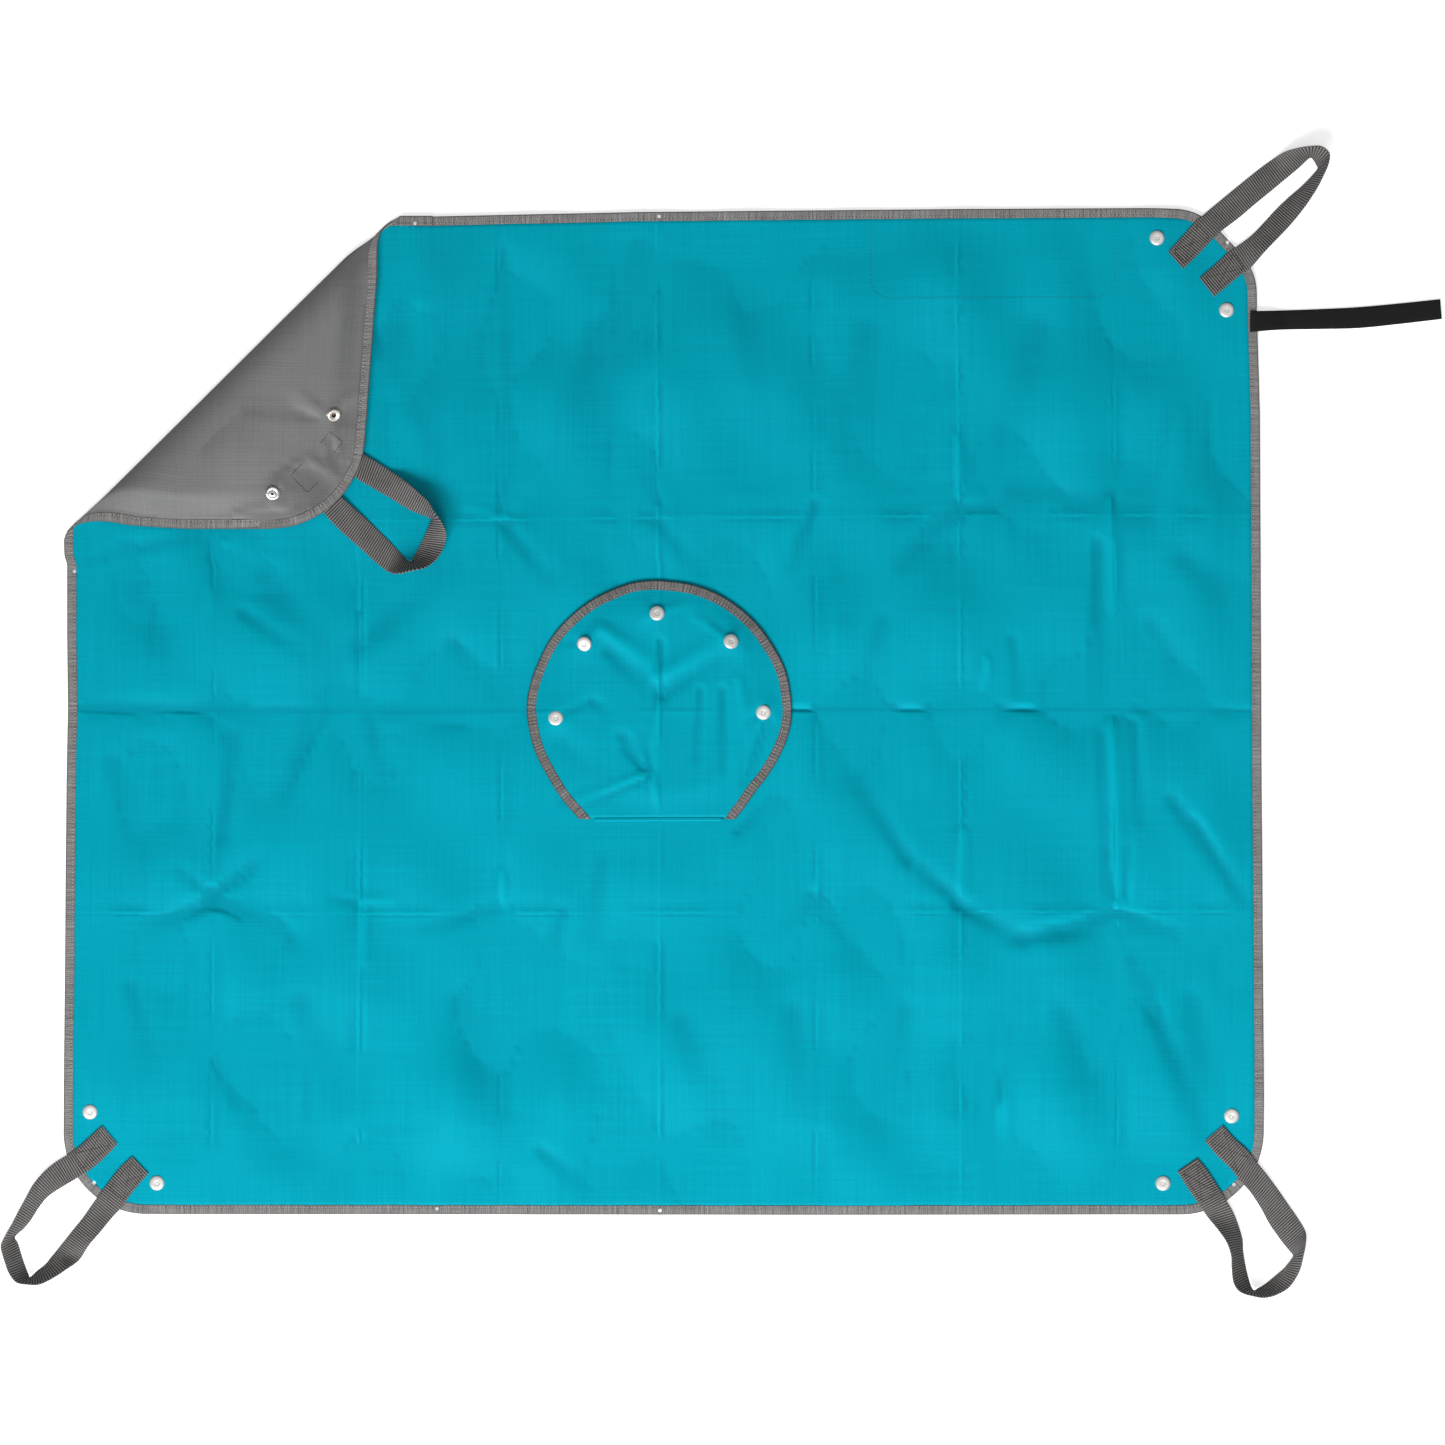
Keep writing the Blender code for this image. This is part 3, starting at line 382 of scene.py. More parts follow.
def stretchedNoise(place, scaleX, scaleY, detail=2.0):
    scaled = place.node("VectorMath", {"operation": "MULTIPLY"}, {0: place, 1: (scaleX, scaleY, 1)})
    return place.node("TexNoise", {}, {"Vector": scaled, "Scale": 1.0, "Detail": detail})


def bumped(shader, height, distance):
    bump = height.node("Bump", {}, {"Strength": 1.0, "Distance": distance, "Height": height})
    height.feed(shader.inputs["Normal"], bump)


def clothMaterial(name, light, dark, gloss, roughness, relief):
    made, shader, place, x, y = newMaterial(name, light, roughness, gloss)
    warp = stretchedNoise(place, 700, 9)  # long threads, lighter and darker ones side by side
    weft = stretchedNoise(place, 9, 700)
    patch = stretchedNoise(place, 7, 7)
    slub = stretchedNoise(place, 220, 260, 3.0)
    # The 'crease' attribute holds painted shade: it darkens the colour in hollows, along folds, on the
    # roll's outer side and beside the corner's snaps
    paintedShade = place.node("Attribute", {"attribute_name": "crease"}, {}, 2)
    tone = (warp * 0.8 + weft * 0.8 + patch * 0.35 + slub * 0.3) - 0.72
    tone = tone + (paintedShade - 0.5) * 1.6
    tone.feed(shader.inputs["Base Color"], tone.within(-0.6, 1.6).mixed(light, dark))
    weave = x.wave(0.0024) * y.wave(0.0024)
    grid = x.wave(0.0062) ** 8 + y.wave(0.0062) ** 8
    bumped(shader, weave * 0.4 + grid * 0.5 + warp * 1.2 + weft * 1.2 + slub * 0.6, relief)
    return made


# Across the tape, in metres: where its flat middle and its sewn groove begin and end
bands = {
    "from": (0.0002, 0.0016), "to": (0.0088, 0.0094),
    "seamFrom": (0.0058, 0.0066), "seamTo": (0.0074, 0.0082),
}


def tapeMaterial(name, light, dark, rib, relief):
    made, shader, place, x, y = newMaterial(name, light, 0.75, 0.15)
    # Partly painted light and shade: the colour darkens between the ribs, outside the flat middle where the
    # tape folds round, and in the sewn groove at each stitch; the pleat streaks paint the puckers' light and
    # shade
    ribs = x.wave(rib) * 0.5 + 0.5
    fibre = stretchedNoise(place, 600, 500, 3.0)
    patch = stretchedNoise(place, 34, 80)
    flatPart = y.rise(*bands["from"]) * (1 - y.rise(*bands["to"]))
    seam = y.rise(*bands["seamFrom"]) * (1 - y.rise(*bands["seamTo"])) * (x.wave(0.0036) * 0.35 + 0.5)
    pleats = (stretchedNoise(place, 380, 16, 2.0) - 0.5) * 1.5
    tone = (ribs * 0.3 + fibre * 0.7 + patch * 0.5 + pleats - 0.12) * (flatPart * 0.7 + 0.3) - seam * 0.45
    tone.feed(shader.inputs["Base Color"], tone.within(0, 1).mixed(dark, light))
    bumped(shader, ribs * 0.8 + fibre, relief)
    return made


def webMaterial(name, light, dark, pitch, relief):
    made, shader, place, x, y = newMaterial(name, light, 0.7, 0.25)
    # The rib stripes in the colour are partly the weave's own pattern and partly painted shade in the
    # grooves between the ribs
    ribs = (x.wave(pitch, "COSINE") * 0.5 + 0.5) ** 1.6
    fibre = stretchedNoise(place, 300, 2600, 3.0)
    patch = stretchedNoise(place, 40, 70)
    tone = (ribs * 0.9 + fibre * 0.55 + patch * 0.3 - 0.38).within(0, 1)
    tone.feed(shader.inputs["Base Color"], tone.mixed(dark, light))
    bumped(shader, ribs + fibre * 0.6, relief)
    return made


def plainMaterial(name, colour, roughness, metallic=0.0):
    made, shader, place, x, y = newMaterial(name, colour, roughness, metallic=metallic)
    spots = place.node("TexCoord", {}, {}, 3)
    speck = place.node("TexNoise", {}, {"Vector": spots, "Scale": 900.0, "Detail": 3.0})
    darker = tuple(value * 0.72 for value in colour)
    speck.feed(shader.inputs["Base Color"], speck.mixed(colour, darker))
    bumped(shader, speck, 0.00002)
    return made


tealCloth = clothMaterial("teal_cloth", (0.0, 0.368, 0.480), (0.0, 0.262, 0.360), 0.03, 0.6, 0.00006)
greyCloth = clothMaterial("grey_cloth", (0.203, 0.203, 0.203), (0.138, 0.138, 0.139), 0.2, 0.5, 0.00008)
greyTape = tapeMaterial("grey_tape", (0.30, 0.292, 0.288), (0.058, 0.055, 0.053), 0.0021, 0.00016)
flapGrey = tapeMaterial("flap_tape", (0.225, 0.214, 0.208), (0.030, 0.028, 0.027), 0.0034, 0.0002)
greyWebbing = webMaterial("grey_webbing", (0.265, 0.254, 0.248), (0.034, 0.032, 0.031), 0.00245, 0.0003)
blackStrap = webMaterial("black_strap", (0.008, 0.008, 0.0085), (0.002, 0.002, 0.0024), 0.0015, 0.00005)
paleThread = plainMaterial("pale_thread", (0.62, 0.61, 0.60), 0.7)
darkThread = plainMaterial("dark_thread", (0.030, 0.030, 0.032), 0.7)
tealThread = plainMaterial("teal_thread", (0.0, 0.25, 0.34), 0.6)
silver = plainMaterial("silver", (0.86, 0.85, 0.825), 0.34, 0.5)
nickel = plainMaterial("nickel", (0.90, 0.90, 0.90), 0.28, 1.0)
ivoryMetal = plainMaterial("ivory_metal", (0.80, 0.77, 0.68), 0.35, 0.6)
darkHole = plainMaterial("dark_hole", (0.05, 0.018, 0.012), 0.6)
print("materials made")


# Meshes
def added(name, data):
    made = bpy.data.objects.new(name, data)
    bpy.context.scene.collection.objects.link(made)
    return made


def newPiece(name, verts, faces, materials, uvs=None, slots=None):
    data = bpy.data.meshes.new(name)
    data.from_pydata(np.asarray(verts).tolist(), [], [tuple(face) for face in faces])
    for material in materials:
        data.materials.append(material)
    if slots is not None:
        data.polygons.foreach_set("material_index", np.asarray(slots, np.int32))
    if uvs is not None:
        layer = data.uv_layers.new(name="cloth")
        loops = np.zeros(len(data.loops), np.int32)
        data.loops.foreach_get("vertex_index", loops)
        layer.data.foreach_set("uv", np.asarray(uvs, np.float32)[loops].ravel())
    data.polygons.foreach_set("use_smooth", np.full(len(data.polygons), True))
    data.validate()
    data.update()
    return added(name, data)


def faceOut(piece):
    shape = bmesh.new()
    shape.from_mesh(piece.data)
    bmesh.ops.recalc_face_normals(shape, faces=shape.faces)
    shape.to_mesh(piece.data)
    shape.free()


# Painted shade: hollows in the relief are painted dark through the 'crease' attribute
paintedShadeScale = {"near": 0.0022, "scale": 170}  # how far apart relief is compared, and the hollow that reads as dark


def slabFrom(name, shape, place, materials, thickness, relief=None, shade=None):
    bmesh.ops.triangulate(shape, faces=shape.faces[:])
    shape.verts.ensure_lookup_table()
    shape.verts.index_update()
    flat = np.array([vert.co[:2] for vert in shape.verts])
    count = len(flat)
    tops = [[vert.index for vert in face.verts] for face in shape.faces]
    if next(iter(shape.faces)).normal.z < 0:
        tops = [face[::-1] for face in tops]
    shape.free()
    edges = dict.fromkeys(pair for face in tops for pair in zip(face, face[1:] + face[:1]))
    rims = [
        (second, first, first + count, second + count)
        for first, second in edges if (second, first) not in edges
    ]
    under = [[index + count for index in face[::-1]] for face in tops]
    x, y = flat[:, 0], flat[:, 1]
    verts = np.concatenate([place(x, y, thickness / 2), place(x, y, -thickness / 2)])
    slots = [0] * len(tops) + [1] * (len(under) + len(rims))
    piece = newPiece(name, verts, tops + under + rims, materials, np.concatenate([flat, flat]), slots)
    # Painted shade: the relief's hollows and the shade function are written to the 'crease' attribute, which
    # darkens the cloth's colour
    if relief:
        near = paintedShadeScale["near"]
        around = relief(x + near, y) + relief(x - near, y) + relief(x, y + near) + relief(x, y - near)
        hollow = (around - 4 * relief(x, y)) / near**2
        paintedShade = 0.5 + 0.5 * np.tanh(hollow / paintedShadeScale["scale"] + shade(x, y))
        layer = piece.data.attributes.new("crease", "FLOAT", "POINT")
        layer.data.foreach_set("value", np.concatenate([paintedShade, paintedShade]).astype(np.float32))
    return piece


def gridLines(low, high, step, fine, reach, fineStep):
    lines = list(np.linspace(low, high, int(round((high - low) / step)) + 1))
    for place in fine:
        extra = [place + i * fineStep for i in range(-reach, reach + 1)]
        lines = [line for line in lines if abs(line - place) > (reach + 0.7) * fineStep]
        lines += [line for line in extra if low < line < high]
    return sorted(lines)


def gridShape(xs, ys, keep):
    shape = bmesh.new()
    corners = [[shape.verts.new((x, y, 0)) for y in ys] for x in xs]
    for i in range(len(xs) - 1):
        for j in range(len(ys) - 1):
            if keep((xs[i] + xs[i + 1]) / 2, (ys[j] + ys[j + 1]) / 2):
                shape.faces.new((corners[i][j], corners[i + 1][j], corners[i + 1][j + 1], corners[i][j + 1]))
    for vert in [vert for vert in shape.verts if not vert.link_faces]:
        shape.verts.remove(vert)
    return shape


def insideEdge(x, y):
    overX, overY = abs(x) - (halfWidth - mat["corner"]), abs(y) - (halfDepth - mat["corner"])
    if overX > 0 and overY > 0:
        return mat["corner"] - math.hypot(overX, overY)
    return mat["corner"] - max(overX, overY)


tape = {"inside": 0.0052, "inset": 0.0069, "groove": 0.0070, "overlap": 0.0046}
clothStep = {"step": 0.0057, "fine": 0.0014, "reach": 2}


def keepMat(x, y):
    if math.hypot(x - flap["x"], y - flap["y"]) < flap["opening"] + tape["overlap"]:
        return False
    return insideEdge(x, y) > tape["inside"]


def clothLines(half, fine):
    low, high = tape["inset"] - half, half - tape["inset"]
    return gridLines(low, high, clothStep["step"], fine, clothStep["reach"], clothStep["fine"])


columns = clothLines(halfWidth, [atPhoto(place, 0)[0] for place, strength in creases["upright"]])
rows = clothLines(halfDepth, [atPhoto(0, place)[1] for place, strength in creases["level"]])
foldSlices = [*np.linspace(fold["start"] - 0.006, fold["middle"], 20)]
foldSlices += [*np.linspace(fold["middle"], fold["top"] + 0.012, 30)[1:]]
cornerPart = {"x": -0.19, "y": 0.1}  # the folded corner's share of the sheet lies beyond these


def sliceFold(shape, places):
    for place in places:
        near = [face for face in shape.faces if abs(outward(*face.verts[0].co[:2]) - place) < 0.02]
        geometry = near + list({edge for face in near for edge in face.edges})
        geometry += list({vert for face in near for vert in face.verts})
        bmesh.ops.bisect_plane(
            shape, geom=geometry, plane_co=(-place * diagonal, place * diagonal, 0),
            plane_no=(-diagonal, diagonal, 0),
        )


def keepSide(shape, place, side):
    gone = [face for face in shape.faces if (outward(*face.calc_center_median()[:2]) - place) * side < 0]
    bmesh.ops.delete(shape, geom=gone, context="FACES")


def aboveFold(x, y):
    return 1 - ease((outward(x, y) - fold["reliefEnd"]) / fold["blend"])


def sheetRelief(x, y):
    return clothHeight(x, y) * aboveFold(x, y) + cornerRipple(x, y, outward(x, y) - fold["top"])


# Painted shade: how much darker the folds, the corner's ripples, the roll's outer side, the snaps' patches
# and the flap's folds are painted
shades = {"sheet": -0.32, "ripple": 290, "roll": 1.1, "patch": 1.7, "flap": -0.26}
rollShade = {"from": 0.548, "rise": 0.008, "to": 0.568, "fall": 0.030}


def foldShade(x, y):
    out = outward(x, y)
    top = shades["sheet"] * strokes(*inPhoto(x, y), softFolds) * aboveFold(x, y)
    rolled = ease((out - rollShade["from"]) / rollShade["rise"])
    rolled = rolled * (1 - ease((out - rollShade["to"]) / rollShade["fall"]))
    patches = shades["patch"] * strokes(*atFolded(x, y), cornerShades) * (out > fold["top"])
    ripple = cornerRipple(x, y, out - fold["top"])
    return top - shades["ripple"] * ripple + shades["roll"] * rolled + patches


def clothPiece(name, folded):
    xs = [x for x in columns if not folded or x < cornerPart["x"]]
    ys = [y for y in rows if not folded or y > cornerPart["y"]]
    shape = gridShape(xs, ys, keepMat)
    sliceFold(shape, foldSlices)
    keepSide(shape, fold["middle"], 1 if folded else -1)
    return slabFrom(name, shape, laid, [tealCloth, greyCloth], mat["cloth"], sheetRelief, foldShade)


pegHoles = (
    (415, 223.5), (659, 216.5), (1227.5, 242.5), (74.4, 571.6),
    (94, 1183), (437, 1209), (660, 1210.5), (1234, 1185),
)
punchSize = {"radius": 0.0018, "segments": 20, "depth": 0.012}


def punch(*pieces):
    shape = bmesh.new()
    for across, down in pegHoles:
        x, y = atPhoto(across, down)
        radius = punchSize["radius"]
        made = bmesh.ops.create_cone(
            shape, cap_ends=True, segments=punchSize["segments"], radius1=radius, radius2=radius,
            depth=punchSize["depth"],
        )
        spot = Vector((x + middle[0], y + middle[1], mat["level"]))
        bmesh.ops.translate(shape, verts=made["verts"], vec=spot)
    data = bpy.data.meshes.new("punch")
    shape.to_mesh(data)
    shape.free()
    cutter = added("punch", data)
    for piece in pieces:
        cut = piece.modifiers.new("holes", "BOOLEAN")
        cut.operation, cut.object, cut.solver = "DIFFERENCE", cutter, "MANIFOLD"
        graph = bpy.context.evaluated_depsgraph_get()
        punched = bpy.data.meshes.new_from_object(piece.evaluated_get(graph))
        piece.modifiers.clear()
        piece.data = punched
        print("punched", piece.name, len(punched.polygons))
    bpy.data.objects.remove(cutter)


matSheet = clothPiece("mat_sheet", False)
cornerSheet = clothPiece("corner_sheet", True)
punch(matSheet)
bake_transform(matSheet)
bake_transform(cornerSheet)
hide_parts("mat_cloth", "fold_cloth")
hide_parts("corner_cloth")
print("cloth laid", len(matSheet.data.polygons), len(cornerSheet.data.polygons))


# Tubes: rings of points joined into a closed skin, for tape, webbing and stitches
def tubeFaces(count, ring):
    sides = []
    for i in range(count - 1):
        for j in range(ring):
            here, beside = i * ring + j, i * ring + (j + 1) % ring
            sides.append((here, beside, beside + ring, here + ring))
    return sides, [range(ring)[::-1], range((count - 1) * ring, count * ring)]


def runLength(points):
    return np.concatenate([[0], np.cumsum(np.linalg.norm(np.diff(points, axis=0), axis=1))])


def readAt(places, far, points):
    return np.stack([np.interp(places, far, points[:, i]) for i in range(points.shape[1])], -1)


def resampled(points, step):
    far = runLength(points)
    return readAt(np.linspace(0, far[-1], max(int(far[-1] / step), 2) + 1), far, points)


def smoothPath(points, step):
    points = np.asarray(points, float)
    ends = np.concatenate([points[:1] * 2 - points[1:2], points, points[-1:] * 2 - points[-2:-1]])
    shares = np.linspace(0, 1, 24, endpoint=False)[:, None]
    weights = (
        (-shares + 2 * shares**2 - shares**3) / 2, (2 - 5 * shares**2 + 3 * shares**3) / 2,
        (shares + 4 * shares**2 - 3 * shares**3) / 2, (shares**3 - shares**2) / 2,
    )
    made = [sum(w * ends[i + j] for j, w in enumerate(weights)) for i in range(len(points) - 1)]
    made = np.concatenate(made + [points[-1:]])
    far = runLength(made[:, :3])
    return readAt(np.linspace(0, far[-1], int(far[-1] / step) + 1), far, made)


# Closed section of the folded tape: inset and height in millimetres, then how its sewn pleats swell it
tapeProfile = np.array([
    (9.2, 0.35), (9.25, 0.66), (8.9, 0.84), (7.7, 0.80), (7.0, 0.66), (6.3, 0.82), (3.4, 0.92),
    (1.9, 0.74), (1.2, 0.88), (0.3, 0.55), (0.0, 0.0), (0.3, -0.55), (1.2, -0.88), (1.9, -0.74),
    (3.4, -0.92), (6.3, -0.82), (7.0, -0.66), (7.7, -0.80), (8.9, -0.84), (9.25, -0.66), (9.2, -0.35),
    (0.8, -0.33), (0.8, 0.33),
]) / 1000

tapeSteps = {"edge": 0.0026, "corner": 0.0018, "flap": 0.0022, "opening": 0.003}  # along the tape
pucker = {"length": 0.0034, "pleat": 0.10, "swell": 0.16, "shy": 0.00035}


def outlinePoints(name):
    signX, signY = cornerSigns[name]
    centre = np.array([signX * (halfWidth - mat["corner"]), signY * (halfDepth - mat["corner"])])
    begin = math.atan2(signY, signX) + math.pi / 4
    turns = np.linspace(begin, begin - math.pi / 2, 60)
    return centre + mat["corner"] * np.stack([np.cos(turns), np.sin(turns)], -1)


def tapeRun(points, step):
    points = resampled(np.asarray(points, float), step)
    ahead = np.gradient(points, axis=0)
    ahead /= np.linalg.norm(ahead, axis=1)[:, None]
    return points, np.stack([ahead[:, 1], -ahead[:, 0]], -1)


def tapePiece(name, points, place, seed, step, material=greyTape):
    points, inward = tapeRun(points, step)
    along = runLength(points)
    pleats = pucker["pleat"] * np.sin(along / pucker["length"] * math.tau)[:, None]
    swelling = 1 + pleats + pucker["swell"] * (alongNoise(along * 0.7, seed) - 0.5)[:, None]
    shy = pucker["shy"] * (alongNoise(along, seed + 4) - 0.5)[:, None]
    inset = tapeProfile[None, :, 0] + shy * (tapeProfile[None, :, 0] > 0.005)
    flat = points[:, None] + inward[:, None] * inset[:, :, None]
    verts = place(flat[:, :, 0], flat[:, :, 1], tapeProfile[None, :, 1] * swelling).reshape(-1, 3)
    sides, ends = tubeFaces(len(points), len(tapeProfile))
    faces = [(a, d, c, b) for a, b, c, d in sides] + [end[::-1] for end in ends]
    uvs = np.stack([np.repeat(along, len(tapeProfile)), inset.ravel()], -1)
    return newPiece(name, verts, faces, [material], uvs)


# Stitches in metres: the distance from one to the next, their length and half their thickness
stitchSizes = {
    "tape": (0.0036, 0.0026, 0.00022), "patch": (0.0042, 0.0027, 0.00022), "hem": (0.0034, 0.0024, 0.0002),
    "handle": (0.0033, 0.0022, 0.00026),
}
onTape = 0.00078
stitchSides = 5


def stitches(name, runs, size, material, place=laid):
    pitch, long, thick = stitchSizes[size]
    sides, ends = tubeFaces(3, stitchSides)
    verts, faces = [], []
    for path, above in runs:
        path = np.asarray(path, float)
        far = runLength(path)
        places = np.arange(pitch / 2, far[-1] - long, pitch)
        if not len(places):
            continue
        spots = np.stack([places, places + long / 2, places + long], -1)
        x, y = np.interp(spots, far, path[:, 0]), np.interp(spots, far, path[:, 1])
        lift = np.array([-0.3, 1.0, -0.3]) * thick * (1 if above > 0 else -1)
        centre = place(x, y, above + lift)
        up = place(x, y, above + lift + 0.0005) - centre
        up /= np.linalg.norm(up, axis=-1)[..., None]
        ahead = (centre[:, 2] - centre[:, 0])[:, None].repeat(3, 1)
        side = np.cross(ahead, up)
        side /= np.linalg.norm(side, axis=-1)[..., None]
        for i in range(len(places)):
            base = len(verts)
            for j, share in enumerate((0.75, 1.15, 0.75)):
                wide = thick * share
                for turn in range(stitchSides):
                    angle = turn * math.tau / stitchSides
                    beside = side[i, j] * wide * math.cos(angle)
                    verts.append(centre[i, j] + beside + up[i, j] * wide * math.sin(angle))
            faces += [[base + index for index in face] for face in sides + ends]
    return newPiece(name, verts, faces, [material])


# Edge tape and its stitches, one run clockwise round the mat from the fold and back
def edgeAt(out, rear):
    if rear:
        return np.array([halfDepth - out / diagonal, halfDepth])
    return np.array([-halfWidth, out / diagonal - halfWidth])


def joined(*runs):
    return np.concatenate([np.atleast_2d(run) for run in runs])


def insetRun(points, inset):
    points, inward = tapeRun(points, 0.002)
    return points + inward * inset


def bothSides(run, above):
    return [(run, above), (run, -above)]


foldRear, foldLeft = edgeAt(fold["middle"], True), edgeAt(fold["middle"], False)
flatCorners = [outlinePoints(name) for name in ("top_right", "bottom_right", "bottom_left")]
matEdge = joined(foldRear, *flatCorners, foldLeft)
cornerEdge = joined(foldLeft, outlinePoints("top_left"), foldRear)
edgeTape = tapePiece("edge_binding", matEdge, laid, 1, tapeSteps["edge"])
cornerTape = tapePiece("corner_binding", cornerEdge, laid, 2, tapeSteps["corner"])

overlap = 0.0007  # where the tape's two ends lie over each other
joinRun = np.array([atPhoto(433, 210), atPhoto(425, 210), atPhoto(398, 210)])
joinRun[:, 1] = halfDepth + overlap
tapeJoin = tapePiece(
    "binding_join", joinRun[::-1], lambda x, y, above: laid(x, y, above + overlap), 8, tapeSteps["corner"]
)
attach(tapeJoin, "mat")
punch(edgeTape, tapeJoin)
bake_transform(edgeTape)
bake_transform(cornerTape)
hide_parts("edge_tape", "fold_tape_left", "fold_tape_rear")
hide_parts("corner_tape")
matGroove = bothSides(insetRun(matEdge, tape["groove"]), onTape)
cornerGroove = bothSides(insetRun(cornerEdge, tape["groove"]), onTape)
edgeStitches = stitches("edge_stitches", matGroove, "tape", paleThread)
cornerStitches = stitches("corner_stitches", cornerGroove, "tape", paleThread)
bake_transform(edgeStitches)
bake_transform(cornerStitches)
print("edge bound")


# Stitched patch under the rear edge, its outline sewn through from below
patch = {
    "left": 872, "right": 1116.6, "front": 299, "rear": 222, "round": 20, "spare": 2,
    "below": 0.0008, "thick": 0.0005, "stitched": 0.00034,
}


def patchRun():
    left, front = atPhoto(patch["left"], patch["front"])
    right, rear = atPhoto(patch["right"], patch["rear"])
    bend = patch["round"] / 1000
    turns = np.linspace(0, math.pi / 2, 12)
    first = np.stack([left + bend - bend * np.cos(turns), front + bend - bend * np.sin(turns)], -1)
    second = np.stack([right - bend + bend * np.sin(turns), front + bend - bend * np.cos(turns)], -1)
    return joined([left, rear], first, second, [right, rear])


patchStitches = stitches("patch_stitches", bothSides(patchRun(), patch["stitched"]), "patch", tealThread)
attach(patchStitches, "mat")
liningLeft, liningFront = atPhoto(patch["left"] - patch["spare"], patch["front"] + patch["spare"])
liningRight, liningRear = atPhoto(patch["right"] + patch["spare"], patch["rear"] - patch["spare"])
lining = gridShape(
    np.linspace(liningLeft, liningRight, 42), np.linspace(liningFront, liningRear, 16), lambda x, y: True
)
patchLining = slabFrom(
    "patch_lining", lining, lambda x, y, above: laid(x, y, above - patch["below"]), [greyCloth, greyCloth],
    patch["thick"],
)
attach(patchLining, "mat")
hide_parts("underside_patch")


# Snaps: turned profiles of (radius, height) in millimetres, top first
capProfile = (
    (0, 1.92), (0.8, 1.92), (1.2, 1.72), (1.6, 1.70), (2.0, 1.94), (3.6, 1.93), (5.2, 1.84), (6.2, 1.62),
    (6.9, 1.16), (7.35, 0.55), (7.5, 0.2), (7.4, 0.02), (6.9, -0.06), (0, -0.06),
)
socketProfile = (
    (0, 2.75), (5.6, 2.75), (6.3, 2.55), (6.6, 2.0), (6.6, 1.0), (6.35, 0.35), (5.6, 0.02), (4.7, 0.0),
    (4.2, 0.25), (3.6, 0.55), (2.6, 0.75), (1.7, 0.85), (1.5, 1.1), (1.5, 1.9), (0, 1.9),
)
studProfile = (
    (0, 2.75), (5.8, 2.75), (6.45, 2.45), (6.7, 1.9), (6.6, 1.35), (6.1, 1.05), (5.2, 0.95), (4.2, 1.05),
    (3.7, 1.3), (3.5, 1.15), (3.3, 0.5), (2.9, 0.12), (2.2, 0.0), (1.5, 0.06), (1.3, 0.4), (1.3, 0.9),
    (0, 0.9),
)
ringSteps = 56


def turnedPiece(name, profile, centre, normal, material, body, holeFrom=None):
    normal = Vector(normal).normalized()
    side = normal.orthogonal().normalized()
    other = normal.cross(side)
    verts, faces, slots, rings = [], [], [], []
    for radius, height in profile:
        base = Vector(centre) + normal * height / 1000
        if radius == 0:
            rings.append([len(verts)])
            verts.append(base)
            continue
        rings.append(list(range(len(verts), len(verts) + ringSteps)))
        for step in range(ringSteps):
            angle = step * math.tau / ringSteps
            verts.append(base + (side * math.cos(angle) + other * math.sin(angle)) * radius / 1000)
    for index, (first, second) in enumerate(zip(rings, rings[1:])):
        for step in range(ringSteps):
            after = (step + 1) % ringSteps
            if len(first) == 1:
                faces.append((first[0], second[step], second[after]))
            elif len(second) == 1:
                faces.append((first[step], second[0], first[after]))
            else:
                faces.append((first[step], second[step], second[after], first[after]))
            slots.append(1 if holeFrom is not None and index >= holeFrom else 0)
    piece = newPiece(name, [vert[:] for vert in verts], faces, [material, darkHole], slots=slots)
    faceOut(piece)
    piece.data.set_sharp_from_angle(angle=math.radians(50))
    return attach(piece, body)


def clothFrame(x, y, above, place=laid, reach=0.004):
    right = place(x + reach, y, above) - place(x - reach, y, above)
    rear = place(x, y + reach, above) - place(x, y - reach, above)
    return place(x, y, above), np.cross(right, rear)


def flatAt(across, down, folded, above):
    targetX, targetY = atPhoto(np.asarray(across, float), np.asarray(down, float))
    x, y = (targetY - fold["gap"], targetX + fold["gap"]) if folded else (targetX, targetY)
    for step in range(14):
        found = laid(x, y, above)
        missX, missY = targetX + middle[0] - found[..., 0], targetY + middle[1] - found[..., 1]
        x, y = (x + missY, y + missX) if folded else (x + missX, y + missY)
    return x, y


# Each corner's snaps in the photo: the long side's has a socket below, the short side's a stud
snapPlaces = {
    "top_right": ((1157, 238), (1226.6, 310)), "bottom_right": ((1163, 1183.3), (1231.7, 1116)),
    "bottom_left": ((157, 1183), (90, 1112)), "top_left": ((334.3, 415.9), (272.4, 493.6)),
}
snapHeights = {"cap": 0.00045, "back": -0.0031, "foldedBack": -0.0035}  # from the middle of the cloth
backs = (("long", "socket", socketProfile, ivoryMetal, 10), ("short", "stud", studProfile, nickel, 13))
for corner, spots in snapPlaces.items():
    folded = corner == "top_left"
    body = "folded_corner" if folded else "mat"
    for spot, (edge, kind, profile, material, holeFrom) in zip(spots, backs):
        x, y = flatAt(*spot, folded, 0.0)
        centre, normal = clothFrame(x, y, snapHeights["cap"])
        name = f"{corner}_{edge}_side"
        cap = turnedPiece(name + "_dome", capProfile, centre, normal, silver, body)
        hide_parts(name + "_cap")
        centre, normal = clothFrame(x, y, snapHeights["foldedBack" if folded else "back"])
        back = turnedPiece(f"{name}_{kind}_back", profile, centre, normal, material, body, holeFrom)
        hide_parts(f"{name}_{kind}")
print("corner snaps set")


